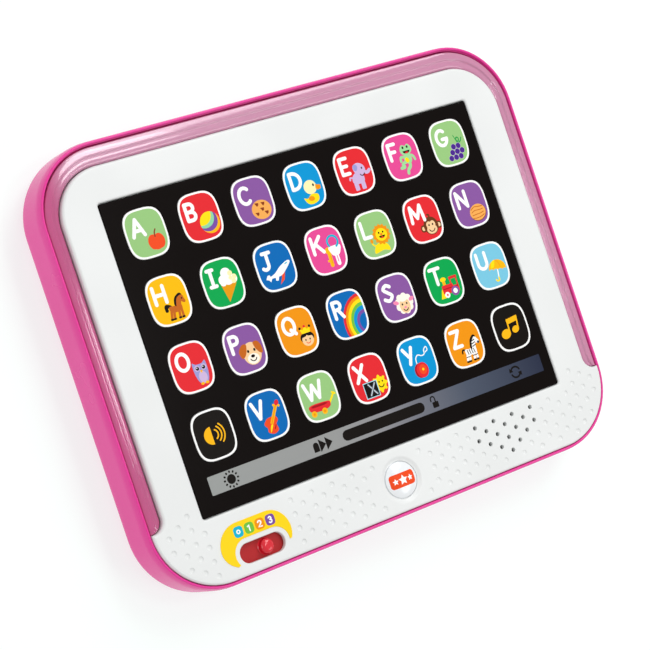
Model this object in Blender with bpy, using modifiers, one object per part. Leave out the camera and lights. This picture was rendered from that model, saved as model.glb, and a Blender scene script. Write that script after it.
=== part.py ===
"""A toddler's toy tablet, lying on its back with its screen up.

The origin is the middle of its footprint, at the back face. +X runs to the right of the screen, +Y to
its top, and +Z out of it. Lengths are in millimetres, and to_object() turns them into metres.
"""

import math

import bmesh
import bpy
from mathutils import Matrix, Vector

MM = 0.001
GAP = 0.3  # clearance between neighbours
THROUGH = 31.0  # a height above everything, where a cutter that goes through the face ends

# Grid of picture keys
KEY_PITCH_X, KEY_PITCH_Y = 27.0, 30.0
KEY_WIDTH, KEY_HEIGHT = 19.5, 21.8
KEY_ROUNDNESS = 3.3  # exponent of the outline's superellipse
KEY_FIRST_X, KEY_FIRST_Y = -80.2, 54.5
KEY_ROWS = (tuple("abcdefg"), tuple("hijklmn"), tuple("opqrstu"), ("sound", *"vwxyz", "music"))

# Outlines, seen from the front
SHELL_HALF_WIDTH, SHELL_HALF_HEIGHT, SHELL_CORNER = 124.2, 99.0, 32.0
SHELL_LIP = 1.9
FACE_HALF_WIDTH, FACE_TOP, FACE_CORNER = 115.2, 87.7, 22.0
CHIN_HALF_WIDTH, CHIN_BOTTOM, CHIN_CORNER = 122.0, -96.7, 29.8
CHIN_TOP, CHIN_STEP_RADIUS = -66.4, 5.5
WINDOW = (-97.7, 97.5, -68.0, 71.8)  # left, right, bottom, top
RIM_TOP, RIM_CORNER = 96.1, 29.8

# Heights above the table
SHELL_BACK, SHELL_FLOOR, SHELL_LEDGE, SHELL_TOP = 0.0, 2.4, 18.7, 27.6
BEZEL_BASE, BEZEL_FLANGE_TOP, BEZEL_UNDERSIDE, FACE = 19.0, 21.0, 26.4, 28.6
PANEL_LEDGE, PANEL_TOP = 26.2, 28.1
RIM_CREST = 27.2
KEY_BASE = 26.0

# Walls and rounded edges
SHELL_WALL, BEZEL_WALL = 2.1, 2.4
BACK_EDGE_RADIUS, FLOOR_RADIUS, FACE_EDGE_RADIUS, RIM_EDGE_RADIUS = 9.0, 6.0, 1.4, 0.5

# Home button
HOME = (0.0, -82.7)
HOME_RADIUS, HOME_DISH_RADIUS, HOME_FOOT_RADIUS, HOME_STEM_RADIUS = 8.1, 10.8, 9.6, 2.0
HOME_CROWN = 1.7  # how far the crown stands above its rim
HOME_RIM, HOME_FOOT_TOP, HOME_FOOT, HOME_STEM_END = 28.0, 26.0, 24.9, 22.8

# Level switch
SLOT = (-86.7, -64.3, -92.1, -83.4)
SLOT_CORNER = 4.3
LEVEL_REST_X, LEVEL_TRAVEL_LEFT, LEVEL_TRAVEL_RIGHT = -73.2, 9.2, 4.6
LEVEL_PLATE_HALF_Y, LEVEL_PLATE_CORNER = 5.3, 3.0
LEVEL_PLATE, LEVEL_PLATE_TOP, LEVEL_KNOB_SHOULDER, LEVEL_KNOB_TOP = 24.9, 26.1, 28.4, 29.5
LEVEL_KNOB_RADIUS, LEVEL_CROWN_RADIUS, LEVEL_STEM_RADIUS = 3.2, 1.9, 1.5

# Loudspeaker
HOLE_RADIUS, HOLE_STEP = 1.0, 5.4
GRILLE_X, GRILLE_TOP = 61.3, -73.3
GRILLE_COLUMNS = ((0, 2), (1, 3), (0, 2, 4), (1, 3, 5), (0, 2, 4), (1, 3), (0, 2))  # rows in use
SPEAKER = (61.3, -81.9)
SPEAKER_RADIUS, SPEAKER_TOP = 11.8, 25.9

# Boards
BOARD_BOTTOM, BOARD, MEMBRANE = -54.0, (20.4, 22.0), (23.4, 24.4)
LOWER_BOARD = (18.9, 20.3)

# Screws that hold the bezel to the shell
SCREW_COLUMNS = ((104.5, 77.5), (105.0, 4.0), (108.0, -79.0))
CASE_SCREWS = [(side * x, y) for x, y in SCREW_COLUMNS for side in (-1, 1)]
POST_RADIUS, BOSS_RADIUS, SCREW_HEAD_RADIUS, SCREW_SHANK_RADIUS = 4.6, 3.6, 2.8, 1.3
SCREW_CLEARANCE = 0.4
SCREW_HEAD, SCREW_HEAD_TOP, SCREW_TIP = 8.6, 10.6, 23.4
WELL_END, PILOT_END, BOSS_START = 11.0, 24.0, 17.0

# Battery bay, centred on the back
CELL_RADIUS, CELL_LENGTH, CELL_PITCH, CELL_Z = 7.1, 48.5, 15.0, 10.2
NUB_RADIUS, NUB_LENGTH, CELL_EDGE = 2.7, 1.3, 0.4
BAY_HALF_X, BAY_HALF_Y, BAY_CEILING, BAY_WALL = 29.2, 22.9, 17.8, 1.6
CONTACT_THICKNESS, CONTACT_HALF_Y, CONTACT_Z = 0.4, 21.5, (4.5, 16.0)
SPRING_WIRE, SPRING_WIDE, SPRING_NARROW = 0.35, 4.6, 2.7
DOOR_HALF_X, DOOR_HALF_Y, DOOR_LOW, DOOR_HIGH = 33.7, 26.7, 0.3, 2.0
DOOR_LUG_HALF_X, DOOR_LUG_REACH, DOOR_SCREW_Y = 6.5, 34.2, 29.4
DOOR_BARREL_RADIUS, DOOR_PIN_RADIUS, DOOR_PIN_LENGTH = (DOOR_HIGH - DOOR_LOW) / 2, 0.55, 1.6
DOOR_AXIS = (0, DOOR_BARREL_RADIUS - DOOR_HALF_Y, (DOOR_HIGH + DOOR_LOW) / 2)

COLOURS = {
    "a": "apple_green", "b": "red", "c": "purple", "d": "sky_blue", "e": "red", "f": "pink",
    "g": "apple_green", "h": "amber", "i": "green", "j": "blue", "k": "pink", "l": "apple_green",
    "m": "red", "n": "purple", "o": "red", "p": "purple", "q": "orange", "r": "blue", "s": "purple",
    "t": "green", "u": "pale_blue", "v": "blue", "w": "apple_green", "x": "red", "y": "sky_blue",
    "z": "orange", "sound": "black", "music": "black",
}
KEY_COLOURS = {
    "apple_green": (0.33, 0.61, 0.21), "red": (0.70, 0.02, 0.03), "purple": (0.27, 0.10, 0.36),
    "sky_blue": (0.02, 0.34, 0.66), "pink": (0.74, 0.06, 0.27), "amber": (0.90, 0.43, 0.01),
    "green": (0.02, 0.34, 0.08), "blue": (0.02, 0.13, 0.42), "orange": (0.85, 0.24, 0.02),
    "pale_blue": (0.27, 0.62, 0.83), "black": (0.01, 0.01, 0.01),
}


# ---------------------------------------------------------------- scene and objects


def clear_scene():
    for obj in list(bpy.data.objects):
        bpy.data.objects.remove(obj)


def new_collection(name):
    collection = bpy.data.collections.new(name)
    bpy.context.scene.collection.children.link(collection)
    return collection


def material(name, colour, roughness, metallic=0.0):
    found = bpy.data.materials.get(name)
    if found:
        return found
    made = bpy.data.materials.new(name)
    made.use_nodes = True
    shader = made.node_tree.nodes["Principled BSDF"]
    shader.inputs["Base Color"].default_value = (*colour, 1.0)
    shader.inputs["Roughness"].default_value = roughness
    shader.inputs["Metallic"].default_value = metallic
    return made


def pink_shell():
    return material("pink_shell", (0.72, 0.05, 0.25), 0.22)


def zinc_steel():
    return material("zinc_steel", (0.62, 0.62, 0.64), 0.3, 1.0)


def silicone():
    return material("silicone", (0.55, 0.55, 0.55), 0.6)


def black_plastic():
    return material("black_panel", (0.008, 0.007, 0.007), 0.25)


def to_object(name, bm, origin=(0, 0, 0)):
    """Makes an object of a mesh drawn in millimetres, with its origin at a point given in millimetres."""
    origin = Vector(origin)
    bmesh.ops.translate(bm, vec=-origin, verts=bm.verts)
    bmesh.ops.scale(bm, vec=(MM, MM, MM), verts=bm.verts)
    bmesh.ops.recalc_face_normals(bm, faces=bm.faces)
    mesh = bpy.data.meshes.new(name)
    bm.to_mesh(mesh)
    bm.free()
    obj = bpy.data.objects.new(name, mesh)
    obj.location = origin * MM
    return obj


def part(obj, look, smooth=False):
    PARTS.objects.link(obj)
    obj.data.materials.append(look)
    if smooth:
        obj.data.shade_smooth()
        obj.data.set_sharp_from_angle(angle=math.radians(35))
    return obj


def cutter(obj):
    CUTTERS.objects.link(obj)
    obj.hide_render = True
    obj.display_type = "WIRE"
    return obj


def boolean(obj, operation, *others):
    for other in others:
        modifier = obj.modifiers.new(f"{operation.lower()}_{other.name}", "BOOLEAN")
        modifier.operation = operation
        modifier.object = cutter(other)
    return obj


def round_edges(obj, radius, segments, share):
    """Bevels each edge by a share of the radius, which share() gives for its two ends in millimetres."""
    weights = obj.data.attributes.new("bevel_weight_edge", "FLOAT", "EDGE")
    for edge in obj.data.edges:
        start, end = (obj.data.vertices[i].co for i in edge.vertices)
        weights.data[edge.index].value = share(start / MM, end / MM)
    modifier = obj.modifiers.new("rounded_edges", "BEVEL")
    modifier.limit_method = "WEIGHT"
    modifier.width = radius * MM
    modifier.segments = segments
    return obj


def above(height):
    """A test for round_edges(): 1 for an edge that lies above this height."""
    return lambda start, end: float(min(start.z, end.z) > height)


# ---------------------------------------------------------------- outlines and solids


def arc(centre, radius, start, end, steps, squash=1.0):
    """Points of an arc in degrees. A squash other than 1 makes it part of an ellipse."""
    points = []
    for i in range(steps + 1):
        angle = math.radians(start + (end - start) * i / steps)
        points.append(
            (centre[0] + radius * math.cos(angle), centre[1] + radius * squash * math.sin(angle))
        )
    return points


def rounded_box(box, radius, steps=8):
    left, right, bottom, top = box
    points = arc((right - radius, bottom + radius), radius, -90, 0, steps)
    points += arc((right - radius, top - radius), radius, 0, 90, steps)
    points += arc((left + radius, top - radius), radius, 90, 180, steps)
    points += arc((left + radius, bottom + radius), radius, 180, 270, steps)
    return points


def superellipse(centre, width, height, exponent, count):
    points = []
    for i in range(count):
        angle = math.tau * (i + 0.5) / count
        c, s = math.cos(angle), math.sin(angle)
        x = math.copysign(abs(c) ** (2 / exponent), c) * width / 2
        y = math.copysign(abs(s) ** (2 / exponent), s) * height / 2
        points.append((centre[0] + x, centre[1] + y))
    return points


def grown(box, margin):
    left, right, bottom, top = box
    return left - margin, right + margin, bottom - margin, top + margin


def mirrored(points):
    return [(-x, y) for x, y in reversed(points)]


def add_slab(bm, outline, low, high):
    """Adds a closed plate with this outline between two heights."""
    face = bm.faces.new([bm.verts.new((x, y, low)) for x, y in outline])
    raised = bmesh.ops.extrude_face_region(bm, geom=[face])["geom"]
    verts = [item for item in raised if isinstance(item, bmesh.types.BMVert)]
    bmesh.ops.translate(bm, vec=(0, 0, high - low), verts=verts)


def slab(name, outline, low, high, origin=(0, 0, 0)):
    bm = bmesh.new()
    add_slab(bm, outline, low, high)
    return to_object(name, bm, origin)


def slabs(name, outlines, low, high):
    bm = bmesh.new()
    for outline in outlines:
        add_slab(bm, outline, low, high)
    return to_object(name, bm)


def block(name, x_range, y_range, z_range, origin=(0, 0, 0)):
    (left, right), (bottom, top) = x_range, y_range
    outline = [(left, bottom), (right, bottom), (right, top), (left, top)]
    return slab(name, outline, *z_range, origin)


def cylinder(name, centre, radius, low, high, sides=16, top_radius=None):
    bm = bmesh.new()
    place = Matrix.Translation((*centre, (low + high) / 2))
    top = radius if top_radius is None else top_radius
    bmesh.ops.create_cone(
        bm, cap_ends=True, segments=sides, radius1=radius, radius2=top, depth=high - low, matrix=place
    )
    return to_object(name, bm)


def cylinders(name, places, radius, low, high, sides):
    return [
        cylinder(f"{name}_{number}", place, radius, low, high, sides)
        for number, place in enumerate(places, 1)
    ]


def turned(name, profile, centre, steps=20):
    """A solid of revolution about a vertical axis, from a profile of (radius, height) points."""
    bm = bmesh.new()
    verts = [bm.verts.new((radius, 0, height)) for radius, height in profile]
    for upper, lower in zip(verts, verts[1:]):
        bm.edges.new((upper, lower))
    obj = to_object(name, bm)
    obj.location = Vector((*centre, 0)) * MM
    screw = obj.modifiers.new("turn", "SCREW")
    screw.steps = screw.render_steps = steps
    screw.use_merge_vertices = True
    screw.merge_threshold = 0.00001
    return obj


def along_x(obj, centre):
    """Lays an upright turned piece along X, with its middle at this point."""
    quarter_turn = Matrix.Rotation(math.radians(90), 4, "Y")
    obj.matrix_world = Matrix.Translation(Vector(centre) * MM) @ quarter_turn
    return obj


# ---------------------------------------------------------------- casing


def face_outline(inset=0.0):
    """The white face: narrow beside the clear rim, and the full width of the casing at its chin."""
    side, top, corner = FACE_HALF_WIDTH - inset, FACE_TOP - inset, FACE_CORNER - inset
    chin, bottom, step_y = CHIN_HALF_WIDTH - inset, CHIN_BOTTOM + inset, CHIN_TOP - inset
    shortest = 0.5  # a straight stretch that is left between two arcs
    chin_corner = min(CHIN_CORNER - inset, step_y - bottom - shortest)
    step = min(CHIN_STEP_RADIUS + inset, chin - side - shortest)
    right = arc((chin - chin_corner, bottom + chin_corner), chin_corner, -90, 0, 8)
    right += [(chin, step_y)]
    right += arc((side + step, step_y + step), step, 270, 180, 4)
    right += arc((side - corner, top - corner), corner, 0, 90, 8)
    return right + mirrored(right)


def rim_outline():
    """The clear rim: a U that fills the channel between the face and the lip of the shell."""
    outer, inner = CHIN_HALF_WIDTH, FACE_HALF_WIDTH + GAP
    end, step = CHIN_TOP + GAP, CHIN_STEP_RADIUS - GAP
    inner_corner, inner_top = FACE_CORNER + GAP, FACE_TOP + GAP
    outer_centre = (outer - RIM_CORNER, RIM_TOP - RIM_CORNER)
    outside = [(outer, end)] + arc(outer_centre, RIM_CORNER, 0, 90, 8)
    inside = arc((inner - inner_corner, inner_top - inner_corner), inner_corner, 90, 0, 8)
    inside += arc((inner + step, end + step), step, 180, 270, 4)
    return outside + mirrored(outside) + mirrored(inside) + inside


def shell_box(inset=0.0):
    half_x, half_y = SHELL_HALF_WIDTH - inset, SHELL_HALF_HEIGHT - inset
    return -half_x, half_x, -half_y, half_y


def battery_bay():
    """What the battery bay adds to the shell, and what it takes out."""
    wall_x, wall_y = BAY_HALF_X + BAY_WALL, BAY_HALF_Y + BAY_WALL
    seat_x, seat_y = DOOR_HALF_X + GAP, DOOR_HALF_Y + GAP
    lug_x, lug_y = DOOR_LUG_HALF_X + GAP, DOOR_LUG_REACH + GAP
    seat_z = (-1, DOOR_HIGH + GAP)
    pin_end = DOOR_HALF_X + DOOR_PIN_LENGTH + 0.5
    added = [
        block("bay_box", (-wall_x, wall_x), (-wall_y, wall_y), (1, BAY_CEILING + BAY_WALL)),
        block("bay_flange", (-seat_x - 3, seat_x + 3), (-seat_y - 2, seat_y + 2), (1, 4.6)),
        block("lug_boss", (-lug_x - 2, lug_x + 2), (seat_y, lug_y + 2), (1, 10)),
    ]
    removed = [
        block("bay_space", (-BAY_HALF_X, BAY_HALF_X), (-BAY_HALF_Y, BAY_HALF_Y), (-1, BAY_CEILING)),
        block("door_seat", (-seat_x, seat_x), (-seat_y, seat_y), seat_z),
        block("lug_seat", (-lug_x, lug_x), (0, lug_y), seat_z),
        cylinder("door_screw_bore", (0, DOOR_SCREW_Y), 2.2, 0, 8.4, 12),
        along_x(cylinder("pin_bore", (0, 0), 0.9, -pin_end, pin_end, 10), DOOR_AXIS),
    ]
    return added, removed


def make_rear_shell():
    shell = slab("rear_shell", rounded_box(shell_box(), SHELL_CORNER), SHELL_BACK, SHELL_TOP)
    top_edge_share = 0.1

    def edge_share(start, end):
        if max(start.z, end.z) < SHELL_BACK + 0.1:
            return 1.0
        return top_edge_share if min(start.z, end.z) > SHELL_TOP - 0.1 else 0.0

    round_edges(shell, BACK_EDGE_RADIUS, 4, edge_share)
    lip, wall = SHELL_LIP, SHELL_LIP + SHELL_WALL
    upper_outline = rounded_box(shell_box(lip), SHELL_CORNER - lip, 6)
    lower_outline = rounded_box(shell_box(wall), SHELL_CORNER - wall, 6)
    upper = slab("shell_upper_cavity", upper_outline, SHELL_LEDGE, THROUGH)
    lower = slab("shell_lower_cavity", lower_outline, SHELL_FLOOR, SHELL_LEDGE + 1)
    floor_edge = SHELL_FLOOR + 0.1
    round_edges(lower, FLOOR_RADIUS, 3, lambda start, end: float(max(start.z, end.z) < floor_edge))
    bay_added, bay_removed = battery_bay()
    posts = cylinders("post", CASE_SCREWS, POST_RADIUS, 1, SHELL_LEDGE - 2, 12)
    bores = cylinders("screw_bore", CASE_SCREWS, SCREW_SHANK_RADIUS + SCREW_CLEARANCE, 5, 20, 12)
    wells = cylinders("screw_well", CASE_SCREWS, SCREW_HEAD_RADIUS + SCREW_CLEARANCE, -1, WELL_END, 12)
    boolean(shell, "DIFFERENCE", upper, lower)
    boolean(shell, "UNION", *bay_added, *posts)
    boolean(shell, "DIFFERENCE", *bay_removed, *bores, *wells)
    return part(shell, pink_shell(), smooth=True)


def speaker_holes():
    """Centres of the grille's holes, on a grid of equilateral triangles."""
    row_step = HOLE_STEP / math.sqrt(3)
    middle = (len(GRILLE_COLUMNS) - 1) / 2
    for column, rows in enumerate(GRILLE_COLUMNS):
        for row in rows:
            yield GRILLE_X + (column - middle) * HOLE_STEP, GRILLE_TOP - row * row_step


def make_front_bezel():
    bezel = slab("front_bezel", face_outline(), BEZEL_BASE, FACE)
    round_edges(bezel, FACE_EDGE_RADIUS, 2, above(FACE - 0.1))
    flange_inset = 0.2
    flange_half = CHIN_HALF_WIDTH - flange_inset
    flange_box = (-flange_half, flange_half, CHIN_BOTTOM + flange_inset, RIM_TOP - flange_inset)
    flange_outline = rounded_box(flange_box, RIM_CORNER, 6)
    flange = slab("bezel_flange", flange_outline, BEZEL_BASE + flange_inset, BEZEL_FLANGE_TOP)
    pocket = slab("bezel_pocket", face_outline(BEZEL_WALL), BEZEL_BASE - 1, BEZEL_UNDERSIDE)
    frame_outline = rounded_box(grown(WINDOW, 1.6), 1.5, 2)
    window_frame = slab("window_frame", frame_outline, BEZEL_BASE, BEZEL_UNDERSIDE + 1)
    bore = HOME_RADIUS + 0.4
    well = [(0, THROUGH), (HOME_DISH_RADIUS, THROUGH), (HOME_DISH_RADIUS, FACE - 0.05)]
    well += [(bore, FACE - 0.9), (bore, 24), (0, 24)]
    holes = [arc(place, HOLE_RADIUS, 0, 315, 7) for place in speaker_holes()]
    removed = [
        slab("panel_seat", rounded_box(WINDOW, 1.2, 2), PANEL_LEDGE, THROUGH),
        slab("screen_window", rounded_box(grown(WINDOW, -2.0), 1.0, 2), 10, THROUGH),
        slabs("grille", holes, 24, THROUGH),
        slab("level_slot", rounded_box(SLOT, SLOT_CORNER, 4), 24, THROUGH),
        turned("home_well", well, HOME, 20),
    ]
    bosses = cylinders("boss", CASE_SCREWS, BOSS_RADIUS, BOSS_START, 27, 10)
    pilot_radius = SCREW_SHANK_RADIUS + SCREW_CLEARANCE
    pilots = cylinders("pilot", CASE_SCREWS, pilot_radius, 12, PILOT_END, 10)
    boolean(bezel, "UNION", flange)
    boolean(bezel, "DIFFERENCE", pocket)
    boolean(bezel, "UNION", window_frame)
    boolean(bezel, "DIFFERENCE", *removed)
    boolean(bezel, "UNION", *bosses)
    boolean(bezel, "DIFFERENCE", *pilots)
    return part(bezel, material("white_bezel", (0.86, 0.87, 0.87), 0.4), smooth=True)


def make_light_rim():
    rim = slab("light_rim", rim_outline(), BEZEL_FLANGE_TOP + GAP, RIM_CREST)
    round_edges(rim, RIM_EDGE_RADIUS, 2, above(RIM_CREST - 0.1))
    return part(rim, material("clear_pink", (0.78, 0.35, 0.52), 0.1), smooth=True)


# ---------------------------------------------------------------- keys and what is under them


def key_places():
    for row, names in enumerate(KEY_ROWS):
        for column, name in enumerate(names):
            yield name, (KEY_FIRST_X + column * KEY_PITCH_X, KEY_FIRST_Y - row * KEY_PITCH_Y)


def key_outline(centre, margin=0.0):
    width, height = KEY_WIDTH + 2 * margin, KEY_HEIGHT + 2 * margin
    return superellipse(centre, width, height, KEY_ROUNDNESS, 16)


def make_keys():
    for name, (x, y) in key_places():
        key = slab(f"key_{name}", key_outline((x, y)), KEY_BASE, PANEL_TOP, origin=(x, y, PANEL_TOP))
        colour = COLOURS[name]
        part(key, material(f"key_{colour}", KEY_COLOURS[colour], 0.35))


def make_key_panel():
    outline = rounded_box(grown(WINDOW, -GAP), 0.9, 2)
    panel = slab("key_panel", outline, PANEL_LEDGE + GAP, PANEL_TOP)
    windows = [key_outline(centre, GAP) for _, centre in key_places()]
    boolean(panel, "DIFFERENCE", slabs("key_windows", windows, 20, THROUGH))
    return part(panel, black_plastic())


def make_boards():
    left, right, _, top = grown(WINDOW, -4.0)
    x_range, y_range = (left, right), (BOARD_BOTTOM, top)
    part(block("switch_membrane", x_range, y_range, MEMBRANE), silicone())

    board_look = material("board_green", (0.02, 0.16, 0.06), 0.45)
    board = block("circuit_board", x_range, y_range, BOARD)
    chip = block("chip", (-68, -52), (32, 48), (BOARD[0] - 1.6, BOARD[0] + 0.6))
    boolean(board, "UNION", chip)
    part(board, board_look)
    part(block("lower_board", (-98, 16), (-93.4, -70.6), LOWER_BOARD), board_look)


def make_home_button():
    crown = []
    for angle in (0, 0.35, 0.7, 1.0, 1.25):
        crown.append((HOME_RADIUS * math.sin(angle), HOME_RIM + HOME_CROWN * math.cos(angle)))
    profile = crown + [(HOME_RADIUS, HOME_RIM), (HOME_RADIUS, HOME_FOOT_TOP)]
    profile += [(HOME_FOOT_RADIUS, HOME_FOOT_TOP), (HOME_FOOT_RADIUS, HOME_FOOT)]
    profile += [(HOME_STEM_RADIUS, HOME_FOOT), (HOME_STEM_RADIUS, HOME_STEM_END), (0, HOME_STEM_END)]
    button = turned("home_button", profile, HOME, 24)
    part(button, material("button_white", (0.82, 0.84, 0.86), 0.25), smooth=True)
    top, base = HOME_STEM_END - GAP, LOWER_BOARD[1] + GAP
    dome = turned("home_button_dome", [(0, top), (2.4, top), (5.2, base), (0, base)], HOME, 16)
    part(dome, silicone(), smooth=True)


def make_level_switch():
    """A red knob on a plate that covers the slot from below wherever the knob stands."""
    left, right, bottom, top = SLOT
    x, y = LEVEL_REST_X, (bottom + top) / 2
    overlap = 0.7
    reach = (right - left) / 2 + (LEVEL_TRAVEL_LEFT + LEVEL_TRAVEL_RIGHT) / 2 + overlap
    box = (x - reach, x + reach, y - LEVEL_PLATE_HALF_Y, y + LEVEL_PLATE_HALF_Y)
    outline = rounded_box(box, LEVEL_PLATE_CORNER, 3)
    origin = (x, y, LEVEL_PLATE_TOP)
    slider = slab("level_slider", outline, LEVEL_PLATE, LEVEL_PLATE_TOP, origin)
    buried = LEVEL_PLATE_TOP - 0.6
    shoulder, summit = LEVEL_KNOB_SHOULDER, LEVEL_KNOB_TOP
    knob = cylinder("level_knob", (x, y), LEVEL_KNOB_RADIUS, buried, shoulder)
    crown = cylinder(
        "level_crown", (x, y), LEVEL_KNOB_RADIUS, shoulder, summit, top_radius=LEVEL_CROWN_RADIUS
    )
    stem = cylinder("level_stem", (x, y), LEVEL_STEM_RADIUS, LEVEL_PLATE - 1.3, buried, 10)
    boolean(slider, "UNION", knob, crown, stem)
    part(slider, material("red_plastic", (0.55, 0.01, 0.01), 0.3), smooth=True)
    switch_top = LEVEL_PLATE - 1.3 - GAP
    switch_x, switch_z = (-82, -64.4), (LOWER_BOARD[1] + GAP, switch_top)
    part(block("slide_switch", switch_x, (y - 3.2, y + 3.2), switch_z), black_plastic())


def make_level_label():
    """A sticker that arches over the switch's slot, with a long left foot and a short right one."""
    left, right, _, top = grown(SLOT, 2.3)
    radius = 6.65
    outline = arc((-69.7, -83.5), 10.0, -29, 90, 8)
    outline += arc((-84.3, -84.0), 10.5, 90, 180, 6)
    outline += arc((-84.3, -84.0), 10.5, 190, 243, 4, squash=0.84)
    outline += arc((left + radius, top - radius), radius, 212, 90, 8)
    outline += arc((right - radius, top - radius), radius, 90, -6, 7)
    label = slab("level_label", outline, FACE + 0.1, FACE + 0.3)
    part(label, material("yellow_label", (0.95, 0.68, 0.01), 0.4))


def make_speaker():
    metal = material("speaker_steel", (0.4, 0.4, 0.42), 0.35, 1.0)
    rim, top = SPEAKER_RADIUS, SPEAKER_TOP
    flange, seat, throat = top - 0.9, top - 3.5, top - 4.3
    frame_profile = [(rim, top), (rim, flange), (rim - 2.5, flange), (6.0, throat), (4.0, throat)]
    frame_profile += [(4.0, seat), (5.6, seat), (rim - 2.9, top), (rim, top)]
    part(turned("speaker_frame", frame_profile, SPEAKER, 16), metal, smooth=True)
    cone_profile = [(0, top - 1.5), (2.2, top - 1.5), (4.0, top - 2.5), (8.4, top), (8.8, top)]
    cone_profile += [(4.4, top - 3.0), (3.6, top - 3.2), (0, top - 2.1)]
    paper = material("speaker_paper", (0.03, 0.03, 0.03), 0.9)
    part(turned("speaker_cone", cone_profile, SPEAKER, 16), paper, smooth=True)
    magnet_top, magnet_base, magnet_radius = throat - GAP, throat - 5.4, 6.6
    magnet_profile = [(0, magnet_top), (magnet_radius, magnet_top), (magnet_radius, magnet_base)]
    magnet_profile += [(0, magnet_base)]
    part(turned("speaker_magnet", magnet_profile, SPEAKER, 16), metal, smooth=True)


# ---------------------------------------------------------------- batteries, door and screws


def make_battery_door():
    half_x, door_z = DOOR_HALF_X, (DOOR_LOW, DOOR_HIGH)
    door = block("battery_door", (-half_x, half_x), (DOOR_AXIS[1], DOOR_HALF_Y), door_z, DOOR_AXIS)
    lug_x = (-DOOR_LUG_HALF_X, DOOR_LUG_HALF_X)
    lug = block("door_lug", lug_x, (DOOR_HALF_Y - 5, DOOR_LUG_REACH), door_z)
    pin_end = half_x + DOOR_PIN_LENGTH
    barrel = along_x(cylinder("door_barrel", (0, 0), DOOR_BARREL_RADIUS, -half_x, half_x, 12), DOOR_AXIS)
    pins = along_x(cylinder("door_pins", (0, 0), DOOR_PIN_RADIUS, -pin_end, pin_end, 10), DOOR_AXIS)
    screw_hole = cylinder("door_screw_hole", (0, DOOR_SCREW_Y), 1.7, -1, 4, 12)
    screw_sink = cylinder("door_screw_sink", (0, DOOR_SCREW_Y), 3.2, -1, 1.3, 12)
    boolean(door, "UNION", lug, barrel, pins)
    boolean(door, "DIFFERENCE", screw_hole, screw_sink)
    part(door, pink_shell())
    profile = [(0, 7.0), (0.9, 6.2), (1.2, 1.0), (2.8, 1.0), (2.8, 0.4), (0, 0.4)]
    part(turned("battery_door_screw", profile, (0, DOOR_SCREW_Y), 12), zinc_steel(), smooth=True)


def make_case_screws():
    shank, head, base = SCREW_SHANK_RADIUS, SCREW_HEAD_RADIUS, SCREW_HEAD
    profile = [(0, SCREW_TIP), (0.5, SCREW_TIP - 0.4), (shank, SCREW_TIP - 1.6), (shank, SCREW_HEAD_TOP)]
    profile += [(head, SCREW_HEAD_TOP), (head, base + 0.6), (head - 1.0, base), (0, base)]
    for number, place in enumerate(CASE_SCREWS, 1):
        part(turned(f"case_screw_{number}", profile, place, 12), zinc_steel(), smooth=True)


def spring_points(start_x, end_x, y, turns=3, per_turn=10):
    """A conical coil along X, wide at its fixed end."""
    for i in range(turns * per_turn + 1):
        share = i / (turns * per_turn)
        angle = math.tau * turns * share
        radius = SPRING_WIDE + (SPRING_NARROW - SPRING_WIDE) * share
        x = start_x + (end_x - start_x) * share
        yield x, y + radius * math.cos(angle), CELL_Z + radius * math.sin(angle)


def wire(name, points):
    curve = bpy.data.curves.new(name, "CURVE")
    curve.dimensions = "3D"
    curve.bevel_depth = SPRING_WIRE * MM
    curve.bevel_resolution = 0
    curve.use_fill_caps = True
    points = list(points)
    spline = curve.splines.new("POLY")
    spline.points.add(len(points) - 1)
    for target, point in zip(spline.points, points):
        target.co = (*(value * MM for value in point), 1)
    return bpy.data.objects.new(name, curve)


def cell_profile():
    end, nub_end, edge = CELL_LENGTH / 2, CELL_LENGTH / 2 + NUB_LENGTH, CELL_EDGE
    shoulder = CELL_RADIUS - edge
    nub = [(0, nub_end), (NUB_RADIUS, nub_end), (NUB_RADIUS, end)]
    can = [(shoulder, end), (CELL_RADIUS, end - edge), (CELL_RADIUS, edge - end), (shoulder, -end)]
    return nub + can + [(0, -end)]


def make_power():
    """Three cells side by side, each turned the other way from the one beside it."""
    cell_look = material("cell_sleeve", (0.05, 0.12, 0.35), 0.35, 0.4)
    plate_x = BAY_HALF_X - GAP - CONTACT_THICKNESS
    middle = plate_x - GAP - NUB_LENGTH - CELL_LENGTH / 2
    clear = SPRING_WIRE + 0.45
    for number in (1, 2, 3):
        way = 1 if number % 2 else -1
        y = (number - 2) * CELL_PITCH
        cell = turned(f"battery_{number}", cell_profile(), (0, 0), 16)
        turn = Matrix.Rotation(math.radians(90 * way), 4, "Y")
        cell.matrix_world = Matrix.Translation(Vector((way * middle, y, CELL_Z)) * MM) @ turn
        part(cell, cell_look, smooth=True)
        coil = spring_points(-way * (plate_x - clear), way * (middle - CELL_LENGTH / 2 - clear), y)
        part(wire(f"contact_spring_{number}", coil), zinc_steel())
    y_range = (-CONTACT_HALF_Y, CONTACT_HALF_Y)
    for name, side in (("battery_contact_left", -1), ("battery_contact_right", 1)):
        x_range = sorted((side * plate_x, side * (plate_x + CONTACT_THICKNESS)))
        part(block(name, x_range, y_range, CONTACT_Z), zinc_steel())


def main():
    make_rear_shell()
    make_front_bezel()
    make_light_rim()
    make_key_panel()
    make_keys()
    make_boards()
    make_home_button()
    make_level_switch()
    make_level_label()
    make_speaker()
    make_battery_door()
    make_case_screws()
    make_power()


clear_scene()
PARTS = new_collection("kids_toy_tablet")
CUTTERS = new_collection("cutters")
main()
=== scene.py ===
"""The looks of a toddler's toy tablet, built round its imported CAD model.

The tablet lies on its back: +X runs to the right of its screen, +Y to its top and +Z out of it. Shapes
are drawn in millimetres and turned into metres when they become objects.
"""

import math

import bmesh
import bpy
from mathutils import Matrix, Vector, geometry


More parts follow.
